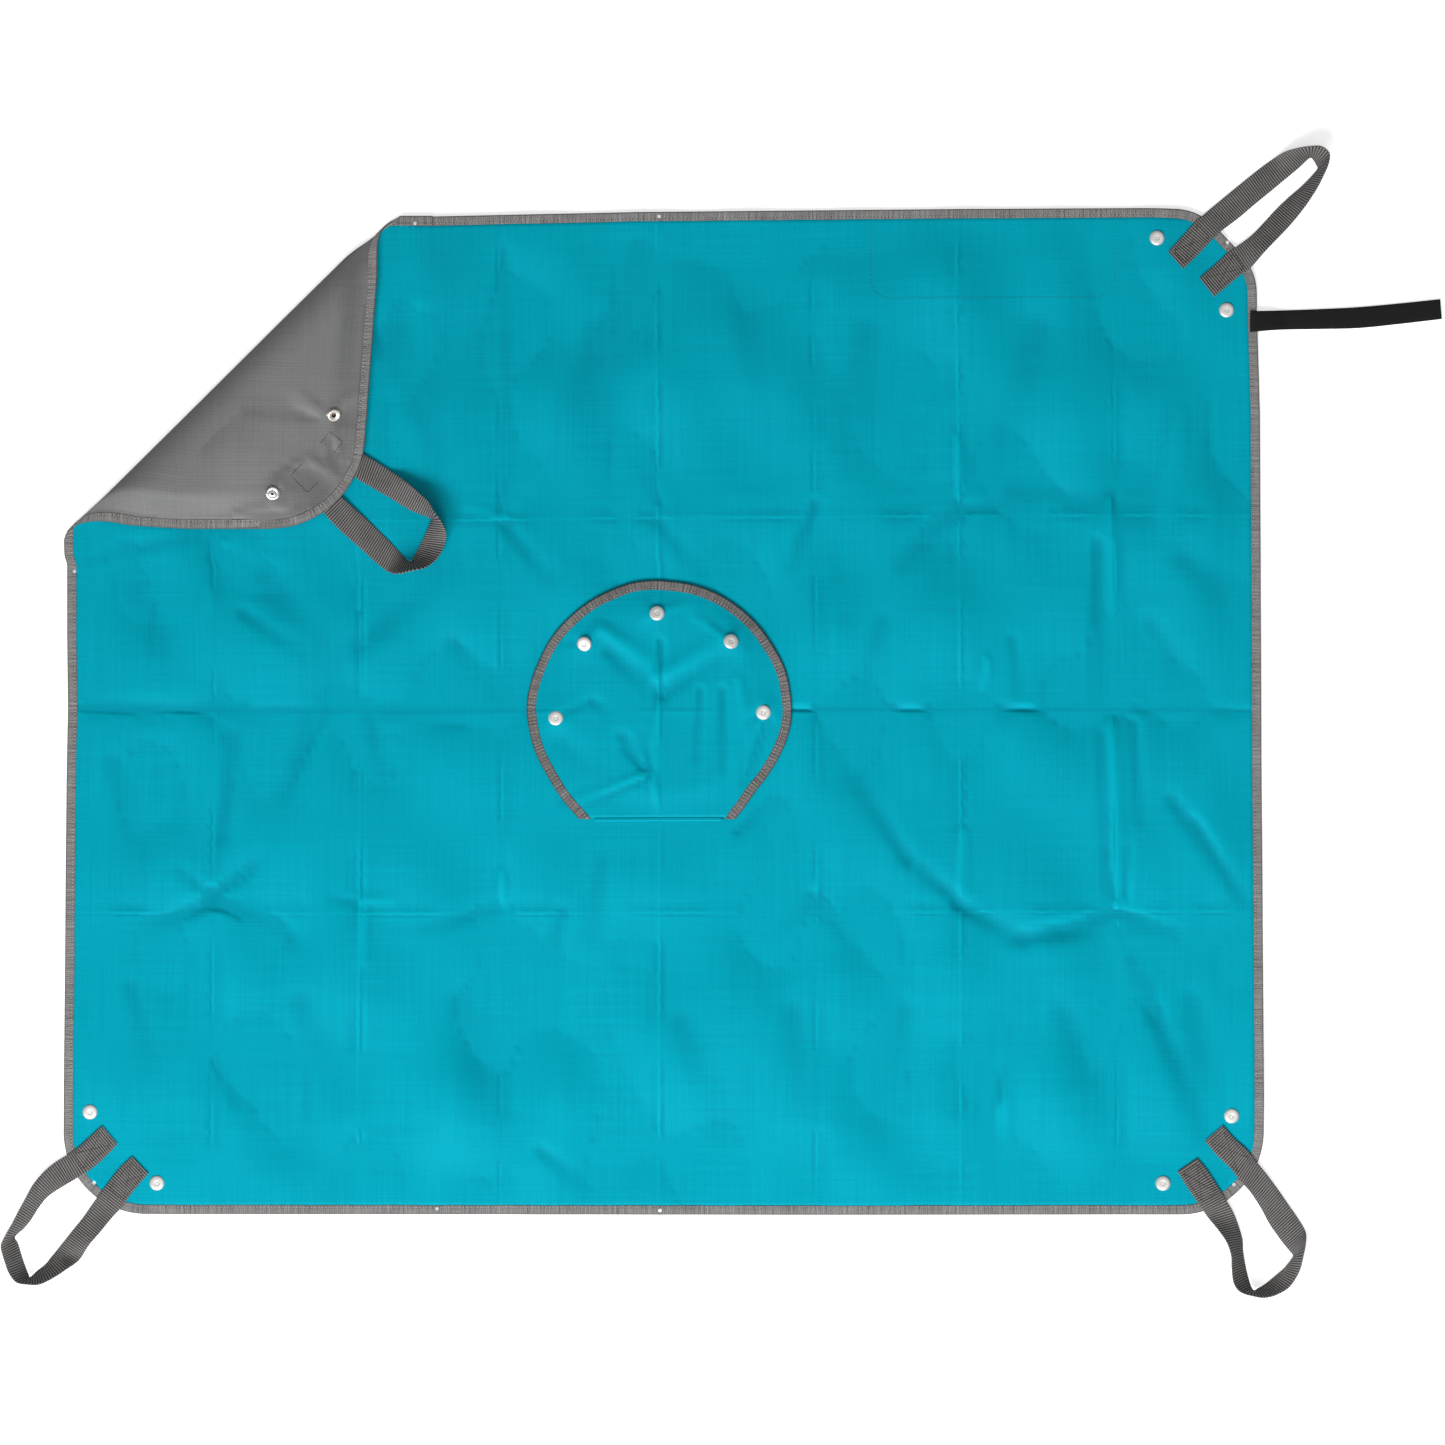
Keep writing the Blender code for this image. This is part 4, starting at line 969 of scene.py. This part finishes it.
# Flap over the opening: its folds as for the mat, then its outline in photo pixels
flapFolds = (
    (647, 773, 578, 801, 3, 1.5), (647, 776, 580, 805, 4, -1.3), (649, 773, 655, 812, 3, 1.1),
    (647, 773, 622, 748, 5, -1.4), (649, 771, 640, 735, 5, -1.1), (600, 628, 655, 668, 9, 1.7),
    (655, 676, 722, 642, 9, 1.7), (606, 650, 652, 690, 10, -1.3), (660, 694, 722, 655, 9, -1.3),
    (658, 640, 658, 690, 4, -1.3), (658, 700, 652, 740, 5, 0.9), (720, 690, 719, 765, 6, -1.5),
    (697, 690, 694, 755, 6, -1.1), (735, 680, 742, 735, 7, 0.9), (553, 716, 590, 700, 5, -1.0),
    (590, 700, 605, 710, 7, -0.8), (582, 642, 560, 640, 4, -0.9), (582, 642, 600, 628, 4, 1.0),
    (655, 612, 690, 604, 4, 0.9), (655, 612, 645, 596, 4, -0.9), (655, 612, 640, 622, 4, 0.9),
    (729, 640, 745, 628, 4, 0.9), (729, 640, 712, 624, 4, -1.0), (729, 640, 690, 616, 5, 1.0),
    (761, 711, 748, 722, 4, -1.0), (761, 711, 768, 728, 4, -1.0), (761, 711, 770, 697, 4, -0.9),
    (763, 725, 745, 780, 6, -1.2), (620, 735, 640, 760, 8, -1.2), (560, 740, 600, 780, 14, -1.0),
)
flapOutline = (
    (588.5, 832), (578.6, 819.2), (561.2, 798.8), (549, 780.4), (537.8, 760.5), (530.6, 743.7),
    (525.6, 723.3), (523.8, 703), (527.6, 682), (535.7, 660), (549, 635.5), (567.3, 615), (591.8, 596.7),
    (622.4, 583.4), (643, 579.6), (663.3, 579.6), (693.9, 584.5), (724.5, 597.8), (753, 621),
    (773.5, 649.3), (784.7, 674.3), (789.2, 702.9), (788.4, 723.3), (782.7, 743.7), (774, 761.5),
    (763.8, 777.5), (753.5, 790.6), (741.3, 808), (734.5, 816.5), (726, 830),
)
flapMiddle = {"across": 657, "down": 700, "radius": 0.122, "blend": 0.03}
flapCreases = {"ridge": 6.5, "ditch": 3, "level": 1, "wide": 1.3, "to": 0.07}  # the last in metres


def flapHeight(x, y):
    centreX, centreY = atPhoto(flapMiddle["across"], flapMiddle["down"])
    far = flapMiddle["radius"] - np.hypot(x - centreX, y - centreY)
    puffed = flap["puff"] * ease(far / flapMiddle["blend"])
    high = np.full_like(x, flap["high"])
    for across, down in flap["snaps"]:
        snapX, snapY = atPhoto(across, down)
        raised = flap["snapLift"] * hump(np.hypot(x - snapX, y - snapY), flap["snapWide"])
        high = np.maximum(high, flap["high"] + raised)
    soft = strokes(*inPhoto(x, y), flapFolds) / flap["soft"]
    soft = np.maximum(soft, -0.0006 - puffed) + puffed
    ridge = hump(np.abs(x * 1000 + flapCreases["ridge"]), flapCreases["wide"])
    upright = ridge - 0.8 * hump(np.abs(x * 1000 + flapCreases["ditch"]), flapCreases["wide"])
    level = hump(np.abs(y * 1000 - flapCreases["level"]), flapCreases["wide"]) * (x < flapCreases["to"])
    crease = (0.0006 * upright + 0.0005 * level) * alongNoise(x + y, 3)
    seamShare = ease((y - flap["seam"]) / 0.03)
    return flap["low"] + (high - flap["low"] + soft + crease) * seamShare + clothHeight(x, y)


# Painted shade along the flap's folds
def flapShade(x, y):
    return shades["flap"] * strokes(*inPhoto(x, y), flapFolds)


def onFlap(x, y, above):
    x, y, above = spread(x, y, above)
    shiftX, shiftY = strayed(x, y)
    return np.stack([x + shiftX, y + shiftY, flapHeight(x, y) + above], -1) + middle


flapX, flapY = atPhoto(*np.array(flapOutline).T)
flapLine = smoothPath(np.column_stack([flapX, flapY, np.zeros_like(flapX)]), 0.003)[:, :2]


def insideFlap(x, y):
    inside = False
    for (x0, y0), (x1, y1) in zip(flapLine, np.roll(flapLine, -1, axis=0)):
        if (y0 > y) != (y1 > y) and x < (x1 - x0) * (y - y0) / (y1 - y0) + x0:
            inside = not inside
    if not inside:
        return False
    starts, runs = flapLine[:-1], np.diff(flapLine, axis=0)
    share = np.clip(((np.array([x, y]) - starts) * runs).sum(1) / (runs**2).sum(1), 0, 1)
    nearest = np.linalg.norm(np.array([x, y]) - starts - runs * share[:, None], axis=1).min()
    return nearest > flapStep["inside"]


flapStep = {
    "left": -0.140, "right": 0.130, "step": 0.0036, "rows": 68, "crease": -0.005, "reach": 3, "fine": 0.001,
    "inside": 0.0035,
}
flapColumns = gridLines(
    flapStep["left"], flapStep["right"], flapStep["step"], [flapStep["crease"]], flapStep["reach"],
    flapStep["fine"],
)
flapRows = [flap["seam"] + i * flapStep["step"] for i in range(flapStep["rows"])]
flapGrid = gridShape(flapColumns, flapRows, insideFlap)
flapSheet = slabFrom(
    "flap_sheet", flapGrid, onFlap, [tealCloth, greyCloth], mat["cloth"], flapHeight, flapShade
)
flapTape = tapePiece("flap_binding", flapLine, onFlap, 3, tapeSteps["flap"], flapGrey)
cutShape = bmesh.new()
cutShape.from_mesh(flapTape.data)
cutEnd = Vector((*atPhoto(657, 819), 0)) + Vector(middle)  # the tape ends just past the seam
cutAll = cutShape.verts[:] + cutShape.edges[:] + cutShape.faces[:]
bmesh.ops.bisect_plane(cutShape, geom=cutAll, plane_co=cutEnd, plane_no=(0, -1, 0), clear_outer=True)
bmesh.ops.holes_fill(cutShape, edges=[edge for edge in cutShape.edges if edge.is_boundary])
bmesh.ops.recalc_face_normals(cutShape, faces=cutShape.faces)
cutShape.to_mesh(flapTape.data)
cutShape.free()
flapGroove = insetRun(flapLine, tape["groove"])[6:-6]
flapStitches = stitches("flap_stitches", [(flapGroove, onTape)], "tape", paleThread, onFlap)
for piece in (flapSheet, flapTape, flapStitches):
    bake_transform(piece)
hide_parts("flap_cloth")
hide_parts("flap_tape")

flapStud = (
    (0, 2.4), (1.9, 2.4), (2.5, 2.0), (2.5, 1.6), (2.1, 1.1), (2.1, 0.8), (5.6, 0.75), (6.5, 0.4),
    (6.5, 0.0), (0, 0.0),
)
studHeight = 0.0038
for index, (across, down) in enumerate(flap["snaps"], 1):
    x, y = atPhoto(across, down)
    centre, normal = clothFrame(x, y, snapHeights["cap"], onFlap)
    normal = normal / np.linalg.norm(normal) + (*flap["tilts"][index - 1], 0)
    cap = turnedPiece(f"flap_dome_{index}", capProfile, centre, normal, silver, "flap")
    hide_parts(f"flap_cap_{index}")
    centre = onFlap(x, y, snapHeights["back"])
    under = turnedPiece(f"flap_socket_back_{index}", socketProfile, centre, (0, 0, 1), nickel, "flap", 10)
    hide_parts(f"flap_socket_{index}")
    studCentre = laid(x, y, 0.0)
    studCentre[2] = studHeight
    stud = turnedPiece(f"opening_stud_post_{index}", flapStud, studCentre, (0, 0, 1), nickel, "mat")
    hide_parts(f"opening_stud_{index}")

hemSize = {
    "inset": 0.004, "rows": (-0.0036, -0.0018, 0.0006), "above": 0.0013, "thick": 0.0009, "stitched": 0.0022,
}
hemLeft = flap["x"] - flap["half"] + hemSize["inset"]
hemRight = flap["x"] + flap["half"] - hemSize["inset"]
hemRun = np.array([[hemLeft, flap["seam"]], [hemRight, flap["seam"]]])
hemGrid = gridShape(
    np.linspace(hemLeft, hemRight, 30), [flap["seam"] + row for row in hemSize["rows"]], lambda x, y: True
)
hem = slabFrom(
    "flap_hem_fold", hemGrid, lambda x, y, above: laid(x, y, above + hemSize["above"]),
    [tealCloth, tealCloth], hemSize["thick"],
)
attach(hem, "mat")
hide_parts("flap_hem")
hemStitches = stitches("hem_stitches", [(hemRun - [0, hemSize["stitched"]], 0.0018)], "hem", tealThread)
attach(hemStitches, "mat")
turns = np.linspace(0, math.tau, 200)
openingLine = np.stack([
    flap["x"] + flap["opening"] * np.cos(turns), flap["y"] + flap["opening"] * np.sin(turns)
], -1)
openingTape = tapePiece("opening_binding", openingLine, laid, 5, tapeSteps["opening"])
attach(openingTape, "mat")
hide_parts("opening_tape")
print("flap closed")


# Handles: the two edges of the webbing, outer then inner, in photo pixels from one sewn end to the other
loops = {
    "top_right": {"hinge": 0.7137, "sewn": (4, 4), "edges": (
        (1168.2, 251.8, 1183.4, 269), (1180.6, 238.4, 1199.1, 253.5), (1193.4, 223.8, 1211.2, 240.7),
        (1201, 216.7, 1217.6, 234), (1221.4, 199.5, 1238, 218.6), (1239.3, 184.8, 1254.6, 204.6),
        (1258.4, 169.5, 1272.4, 190), (1272.4, 159.3, 1287.1, 177.8), (1283.9, 152.3, 1299.2, 167.6),
        (1296.7, 148.8, 1307.5, 159.6), (1309.4, 147, 1311, 157.6), (1320.9, 147, 1313.9, 160.6),
        (1328.6, 153.6, 1316.5, 165.1), (1327.3, 165.1, 1317.7, 168.9), (1320.9, 179.7, 1311, 176.9),
        (1314.5, 191.9, 1300.5, 187.4), (1303.1, 209.1, 1288.4, 197.6), (1290.3, 225, 1275, 210.4),
        (1277.6, 238.4, 1262.9, 223.7), (1264.8, 251.8, 1250.8, 235.9), (1252, 266.5, 1238, 245.4),
        (1241.8, 274.1, 1226.5, 253.7), (1229.1, 284.3, 1213.8, 265.8), (1214.4, 296.5, 1199.7, 278),
    )},
    "bottom_left": {"hinge": 0.7739, "sewn": (4, 4), "edges": (
        (102, 1125.7, 117.3, 1144.2), (89.3, 1137.2, 105.2, 1157), (76.5, 1148.7, 92.5, 1168.1),
        (65.7, 1155.7, 78.1, 1177.4), (53.6, 1163.3, 67.6, 1183.8), (42.1, 1173.5, 56.1, 1190.8),
        (33.2, 1185, 46.6, 1197.8), (26.1, 1198.4, 38.3, 1208), (19.1, 1211.2, 30.6, 1220.1),
        (13.4, 1222.7, 23.6, 1228.4), (8, 1232, 15.8, 1235.2), (2, 1244, 14.6, 1238.5),
        (2.6, 1252, 17.9, 1243.7),
        (5.7, 1262.2, 21.4, 1255.2), (9.6, 1272.4, 25.3, 1266.7), (17, 1281.3, 28.6, 1275.2),
        (28.2, 1283.5, 30.4, 1277.1), (40.8, 1283.5, 37, 1271.1), (54.8, 1276.9, 45.3, 1264.5),
        (67.6, 1268.6, 52.3, 1255.8), (79.1, 1260.3, 59.3, 1247.1), (89.3, 1245, 71.4, 1231.8),
        (100.8, 1231.6, 82.9, 1217.6), (112.2, 1217.6, 93.8, 1202), (121.8, 1207.3, 101.5, 1192),
        (127.6, 1198.4, 108.4, 1182.5), (137.8, 1185.7, 120.5, 1167.2), (148.6, 1173.5, 132, 1156.3),
    )},
    "bottom_right": {"hinge": 0.7013, "sewn": (4, 4), "edges": (
        (1223, 1125.5, 1205, 1141.2), (1234.4, 1138.5, 1217, 1155.3), (1247.1, 1149.9, 1231.1, 1169.3),
        (1255.8, 1160.6, 1242, 1182.7), (1267.2, 1174.7, 1251.2, 1193.4), (1278.6, 1190.1, 1261.2, 1208.8),
        (1288.7, 1204.8, 1269.2, 1223.6), (1298, 1218.2, 1277.9, 1236.3), (1305.4, 1230.9, 1286.6, 1247.7),
        (1305.4, 1240.3, 1293.3, 1255.7), (1302.3, 1255.7, 1292, 1258.4), (1298.7, 1270.4, 1284.6, 1267.8),
        (1290, 1285.2, 1275.3, 1276), (1277.9, 1293.2, 1265.9, 1283.6), (1264.5, 1296.8, 1257.9, 1288.5),
        (1252.5, 1295.2, 1254.1, 1290.5), (1239.8, 1291.2, 1251.2, 1286.5), (1233.1, 1282.5, 1247.8, 1275.8),
        (1231.1, 1267.8, 1245.1, 1263.7), (1230.4, 1254.4, 1243.1, 1251), (1225.7, 1241, 1242.4, 1239),
        (1217.7, 1229.6, 1238.4, 1224.9), (1208.3, 1218.2, 1232.4, 1210.2), (1202.3, 1209.5, 1224.6, 1197.5),
        (1193.6, 1196.8, 1217, 1185.4), (1185.5, 1184.7, 1207.6, 1170.7), (1177.5, 1171.6, 1197.3, 1158.3),
    )},
    "top_left": {"hinge": 0.411, "sewn": (4, 5), "edges": (
        (329.4, 427, 314.6, 445), (339.5, 435.2, 324.7, 453.2), (350, 443.7, 335.2, 461.7),
        (360.5, 452, 346, 470.5), (365.8, 455.5, 357.5, 479), (378.1, 462.7, 368.9, 485.6),
        (391.3, 471.3, 380.1, 492.4), (402.6, 479, 392.3, 499.2), (412.8, 487.1, 403.1, 506),
        (421.9, 495.3, 413.3, 511.4), (429.1, 502.4, 423, 514.9), (434.7, 512.1, 431.1, 518.6),
        (441.3, 521.8, 431.1, 520.8), (446.2, 532, 427.6, 529.5), (445.4, 543.3, 422.4, 540.7),
        (438.3, 557.6, 417.3, 550.9), (427, 567.2, 412.2, 560.1), (412.8, 570.8, 411.2, 561.6),
        (398.5, 573.9, 405.6, 558.6), (387.2, 571.3, 398, 550.4), (375, 561.6, 387.8, 539.7),
        (362.8, 550.4, 376.5, 528.8), (350.5, 539.7, 365.3, 518), (338.3, 528.5, 354.1, 508.1),
        (326, 515.7, 343.4, 498.4), (318, 507.2, 334.5, 490.5), (308.5, 497.5, 325, 481),
        (296.5, 485.5, 313, 469), (284.8, 474.3, 301.3, 457.7),
    )},
}
webbing = {
    "half": 0.0117, "above": 0.0017, "drop": 0.034, "lie": 0.0019, "foldedLie": 0.0052, "roll": 0.02,
    "thick": 0.0014, "pitch": 0.00245, "depth": 0.0002, "step": 0.00049,
}
webProfile = np.array([
    (-1, 0.0), (-0.985, 0.5), (-0.92, 0.68), (-0.5, 0.7), (0, 0.7), (0.5, 0.7), (0.92, 0.68),
    (0.985, 0.5), (1, 0.0), (0.985, -0.5), (0.92, -0.68), (0.5, -0.7), (0, -0.7), (-0.5, -0.7),
    (-0.92, -0.68), (-0.985, -0.5),
])


def ribbon(name, outer, inner, size, material):
    path = smoothPath(np.column_stack([(outer + inner) / 2, (outer - inner) / 2]), size["step"])
    outer, inner = path[:, :3] + path[:, 3:], path[:, :3] - path[:, 3:]
    centres = (outer + inner) / 2
    ahead = np.gradient(centres, axis=0)
    side = inner - outer
    wide = np.linalg.norm(side, axis=1)[:, None]
    side = side / wide
    up = np.cross(side, ahead)
    up /= np.linalg.norm(up, axis=1)[:, None]
    alongs = runLength(centres)
    wave = np.cos(alongs / size["pitch"] * math.tau)[:, None]
    profileX, profileZ = webProfile[None, :, 0], webProfile[None, :, 1]
    across = profileX * wide / 2 * (1 + 0.008 * wave)
    lift = profileZ / 0.7 * size["thick"] / 2 + np.sign(profileZ) * size["depth"] * wave
    verts = centres[:, None] + side[:, None] * across[:, :, None] + up[:, None] * lift[:, :, None]
    sides, ends = tubeFaces(len(centres), len(webProfile))
    uvs = np.stack([np.repeat(alongs, len(webProfile)), across.ravel() + lift.ravel()], -1)
    piece = newPiece(name, verts.reshape(-1, 3), sides + ends, [material], uvs)
    faceOut(piece)
    return piece, path


# The sewn box and its cross above, its open outline below: how high, how far along, which corners
sewnLines = (
    (webbing["above"] + 0.00085, 0.84, ((0, 1, 2, 3, 0), (0, 2), (1, 3))), (-0.0005, 0.5, ((3, 0, 1, 2),)),
)
sewnMargin = {"along": 0.09, "beside": 0.14}


def sewnRuns(end, root, folded):
    runs = []
    near, left = sewnMargin["along"], sewnMargin["beside"]
    for above, deep, lines in sewnLines:
        corners = []
        for along, beside in ((near, left), (deep, left), (deep, 1 - left), (near, 1 - left)):
            place = end + (root - end) * along
            corners.append(place[:2] + (place[2:] - place[:2]) * beside)
        for line in lines:
            line = resampled(np.array([corners[index] for index in line]), 2.0)
            x, y = flatAt(line[:, 0], line[:, 1], folded, 0.0)
            runs.append((np.column_stack([x, y]), above))
    return runs


def handlePiece(corner):
    folded = corner == "top_left"
    body = "folded_corner" if folded else "mat"
    edges = np.array(loops[corner]["edges"])
    count = len(edges)
    leave, arrive = loops[corner]["sewn"][0] - 1, count - loops[corner]["sewn"][1]
    clear = slice(leave + 1, arrive)
    outer, inner = np.zeros((count, 3)), np.zeros((count, 3))
    for line, column in ((outer, 0), (inner, 2)):
        x, y = flatAt(edges[:, column], edges[:, column + 1], folded, webbing["above"])
        line[:] = laid(x, y, webbing["above"])
        x, y = atPhoto(edges[clear, column], edges[clear, column + 1])
        line[clear, 0], line[clear, 1] = x + middle[0], y + middle[1]
    centres = (outer[:, :2] + inner[:, :2]) / 2
    far = runLength(centres)
    nearEnd = np.clip(np.minimum(far - far[leave], far[arrive] - far), 0, None)
    ground = np.full(count, webbing["lie"])
    if folded:
        ground = webbing["foldedLie"] + np.maximum(clothHeight(*((centres - middle[:2]).T)), 0)
    roots = np.interp(far, [far[leave], far[arrive]], [inner[leave, 2], inner[arrive, 2]])
    base = roots + (ground - roots) * ease(nearEnd / webbing["drop"])
    seen = np.linalg.norm(outer[:, :2] - inner[:, :2], axis=1)
    rise = np.sqrt(np.clip((2 * webbing["half"]) ** 2 - seen**2, 0, None)) * ease(nearEnd / webbing["roll"])
    inner[clear, 2] = base[clear]
    outer[clear, 2] = (base + rise)[clear]
    piece, path = ribbon(f"{corner}_handle_loop", outer, inner, webbing, greyWebbing)
    root = (outer[leave] + inner[leave] + outer[arrive] + inner[arrive]) / 4
    mouth = np.array([*cornerSigns[corner], 0]) * diagonal * (-1 if folded else 1)
    gap = loops[corner]["hinge"] * (-1 if folded else 1) - root @ mouth
    print(corner, "hinge line beyond the sewn end", round(gap, 4), "height", round(root[2], 4))
    tuple(root + mouth * gap)
    tuple(root + mouth * (gap + 0.012))
    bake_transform(piece)
    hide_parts(f"{corner}_handle", f"{corner}_handle_end_1", f"{corner}_handle_end_2")
    runs = sewnRuns(edges[0], edges[leave], folded) + sewnRuns(edges[-1], edges[arrive], folded)
    seam = stitches(f"{corner}_handle_stitches", runs, "handle", darkThread)
    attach(seam, body)


for corner in cornerSigns:
    handlePiece(corner)
print("handles sewn")

# Tie strap
strapEdges = (
    (1250, 311, 1250, 332), (1257, 311, 1258, 331.5), (1272, 310.6, 1273, 330.2), (1290, 310, 1291, 329.4),
    (1318, 309, 1320, 329), (1358, 307, 1359, 328), (1398, 303.4, 1399, 324), (1440.4, 299, 1442, 319),
)
strapSize = {
    "high": 0.0056, "low": 0.0012, "from": 1258, "long": 34, "thick": 0.0012, "pitch": 0.0015,
    "depth": 0.00007, "step": 0.0005,
}
strapPoints = np.array(strapEdges)
strapRest = ease((strapPoints[:, 0] - strapSize["from"]) / strapSize["long"])
strapHeight = strapSize["high"] + (strapSize["low"] - strapSize["high"]) * strapRest
strapLines = []
for column in (0, 2):
    x, y = atPhoto(strapPoints[:, column], strapPoints[:, column + 1])
    strapLines.append(np.column_stack([x + middle[0], y + middle[1], strapHeight]))
strap, strapPath = ribbon("tie_strap_webbing", *strapLines, strapSize, blackStrap)
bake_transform(strap)
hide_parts("tie_strap", "tie_strap_end")
print("strap laid")

# Studio: white floor, a soft key from the lower left, a fill from above, a disk in front and an even sky
studio = {
    "sky": 0.25, "lift": 0.56, "floor": {"half": 6, "height": -0.0004, "colour": 0.94, "roughness": 0.9},
    "lamps": (
        ("key", math.radians(235), math.radians(40), 1.5, 0.4), ("fill", 0.0, math.radians(80), 0.29, 0.8),
    ),
    "front": {"place": (-0.2, -2.1, 1.9), "size": 1.6, "power": 60},
}
floorData = bpy.data.meshes.new("floor")
floorHalf, floorHeight = studio["floor"]["half"], studio["floor"]["height"]
floorCorners = [
    (signX * floorHalf, signY * floorHalf, floorHeight)
    for signX, signY in ((-1, -1), (1, -1), (1, 1), (-1, 1))
]
floorData.from_pydata(floorCorners, [], [(0, 1, 2, 3)])
floor = added("floor", floorData)
floorMaterial = bpy.data.materials.new("floor")
floorMaterial.use_nodes = True
floorShader = floorMaterial.node_tree.nodes["Principled BSDF"]
floorShader.inputs["Base Color"].default_value = (*[studio["floor"]["colour"]] * 3, 1)
floorShader.inputs["Roughness"].default_value = studio["floor"]["roughness"]
floorShader.inputs["Specular IOR Level"].default_value = 0.0
floorShader.inputs["Emission Color"].default_value = (1, 1, 1, 1)
floorPath = floorMaterial.node_tree.nodes.new("ShaderNodeLightPath")
fromCamera = Signal(floorMaterial.node_tree, floorPath.outputs["Is Camera Ray"])
fromCamera.feed(floorShader.inputs["Emission Strength"], fromCamera * studio["lift"])
floorData.materials.append(floorMaterial)

world = bpy.context.scene.world or bpy.data.worlds.new("studio")
bpy.context.scene.world = world
world.use_nodes = True
world.node_tree.nodes["Background"].inputs[0].default_value = (1, 1, 1, 1)
world.node_tree.nodes["Background"].inputs[1].default_value = studio["sky"]


def aimed(lamp, way):
    lamp.rotation_euler = Vector(way).to_track_quat("Z", "Y").to_euler()


for name, turn, height, power, angle in studio["lamps"]:
    sun = bpy.data.lights.new(name, "SUN")
    sun.energy = power
    sun.angle = angle
    way = (math.cos(turn) * math.cos(height), math.sin(turn) * math.cos(height), math.sin(height))
    aimed(added(name, sun), way)
front = bpy.data.lights.new("front", "AREA")
front.shape = "DISK"
front.size = studio["front"]["size"]
front.energy = studio["front"]["power"]
frontLamp = added("front", front)
frontLamp.location = studio["front"]["place"]
aimed(frontLamp, studio["front"]["place"])

# Camera straight above, framed as the photo is
view = {"distance": 12.0, "aim": 0.004, "sensor": 36, "frame": 1.445, "x": 722.5, "y": 722.5, "clip": 100}
cameraData = bpy.data.cameras.new("camera")
cameraData.lens = view["sensor"] * (view["distance"] - view["aim"]) / view["frame"]
cameraData.sensor_width = view["sensor"]
cameraData.clip_end = view["clip"]
camera = added("camera", cameraData)
cameraX, cameraY = atPhoto(view["x"], view["y"])
camera.location = (cameraX + middle[0], cameraY + middle[1], view["distance"])
bpy.context.scene.camera = camera
bpy.context.scene.view_settings.view_transform = "Standard"
print("studio ready")
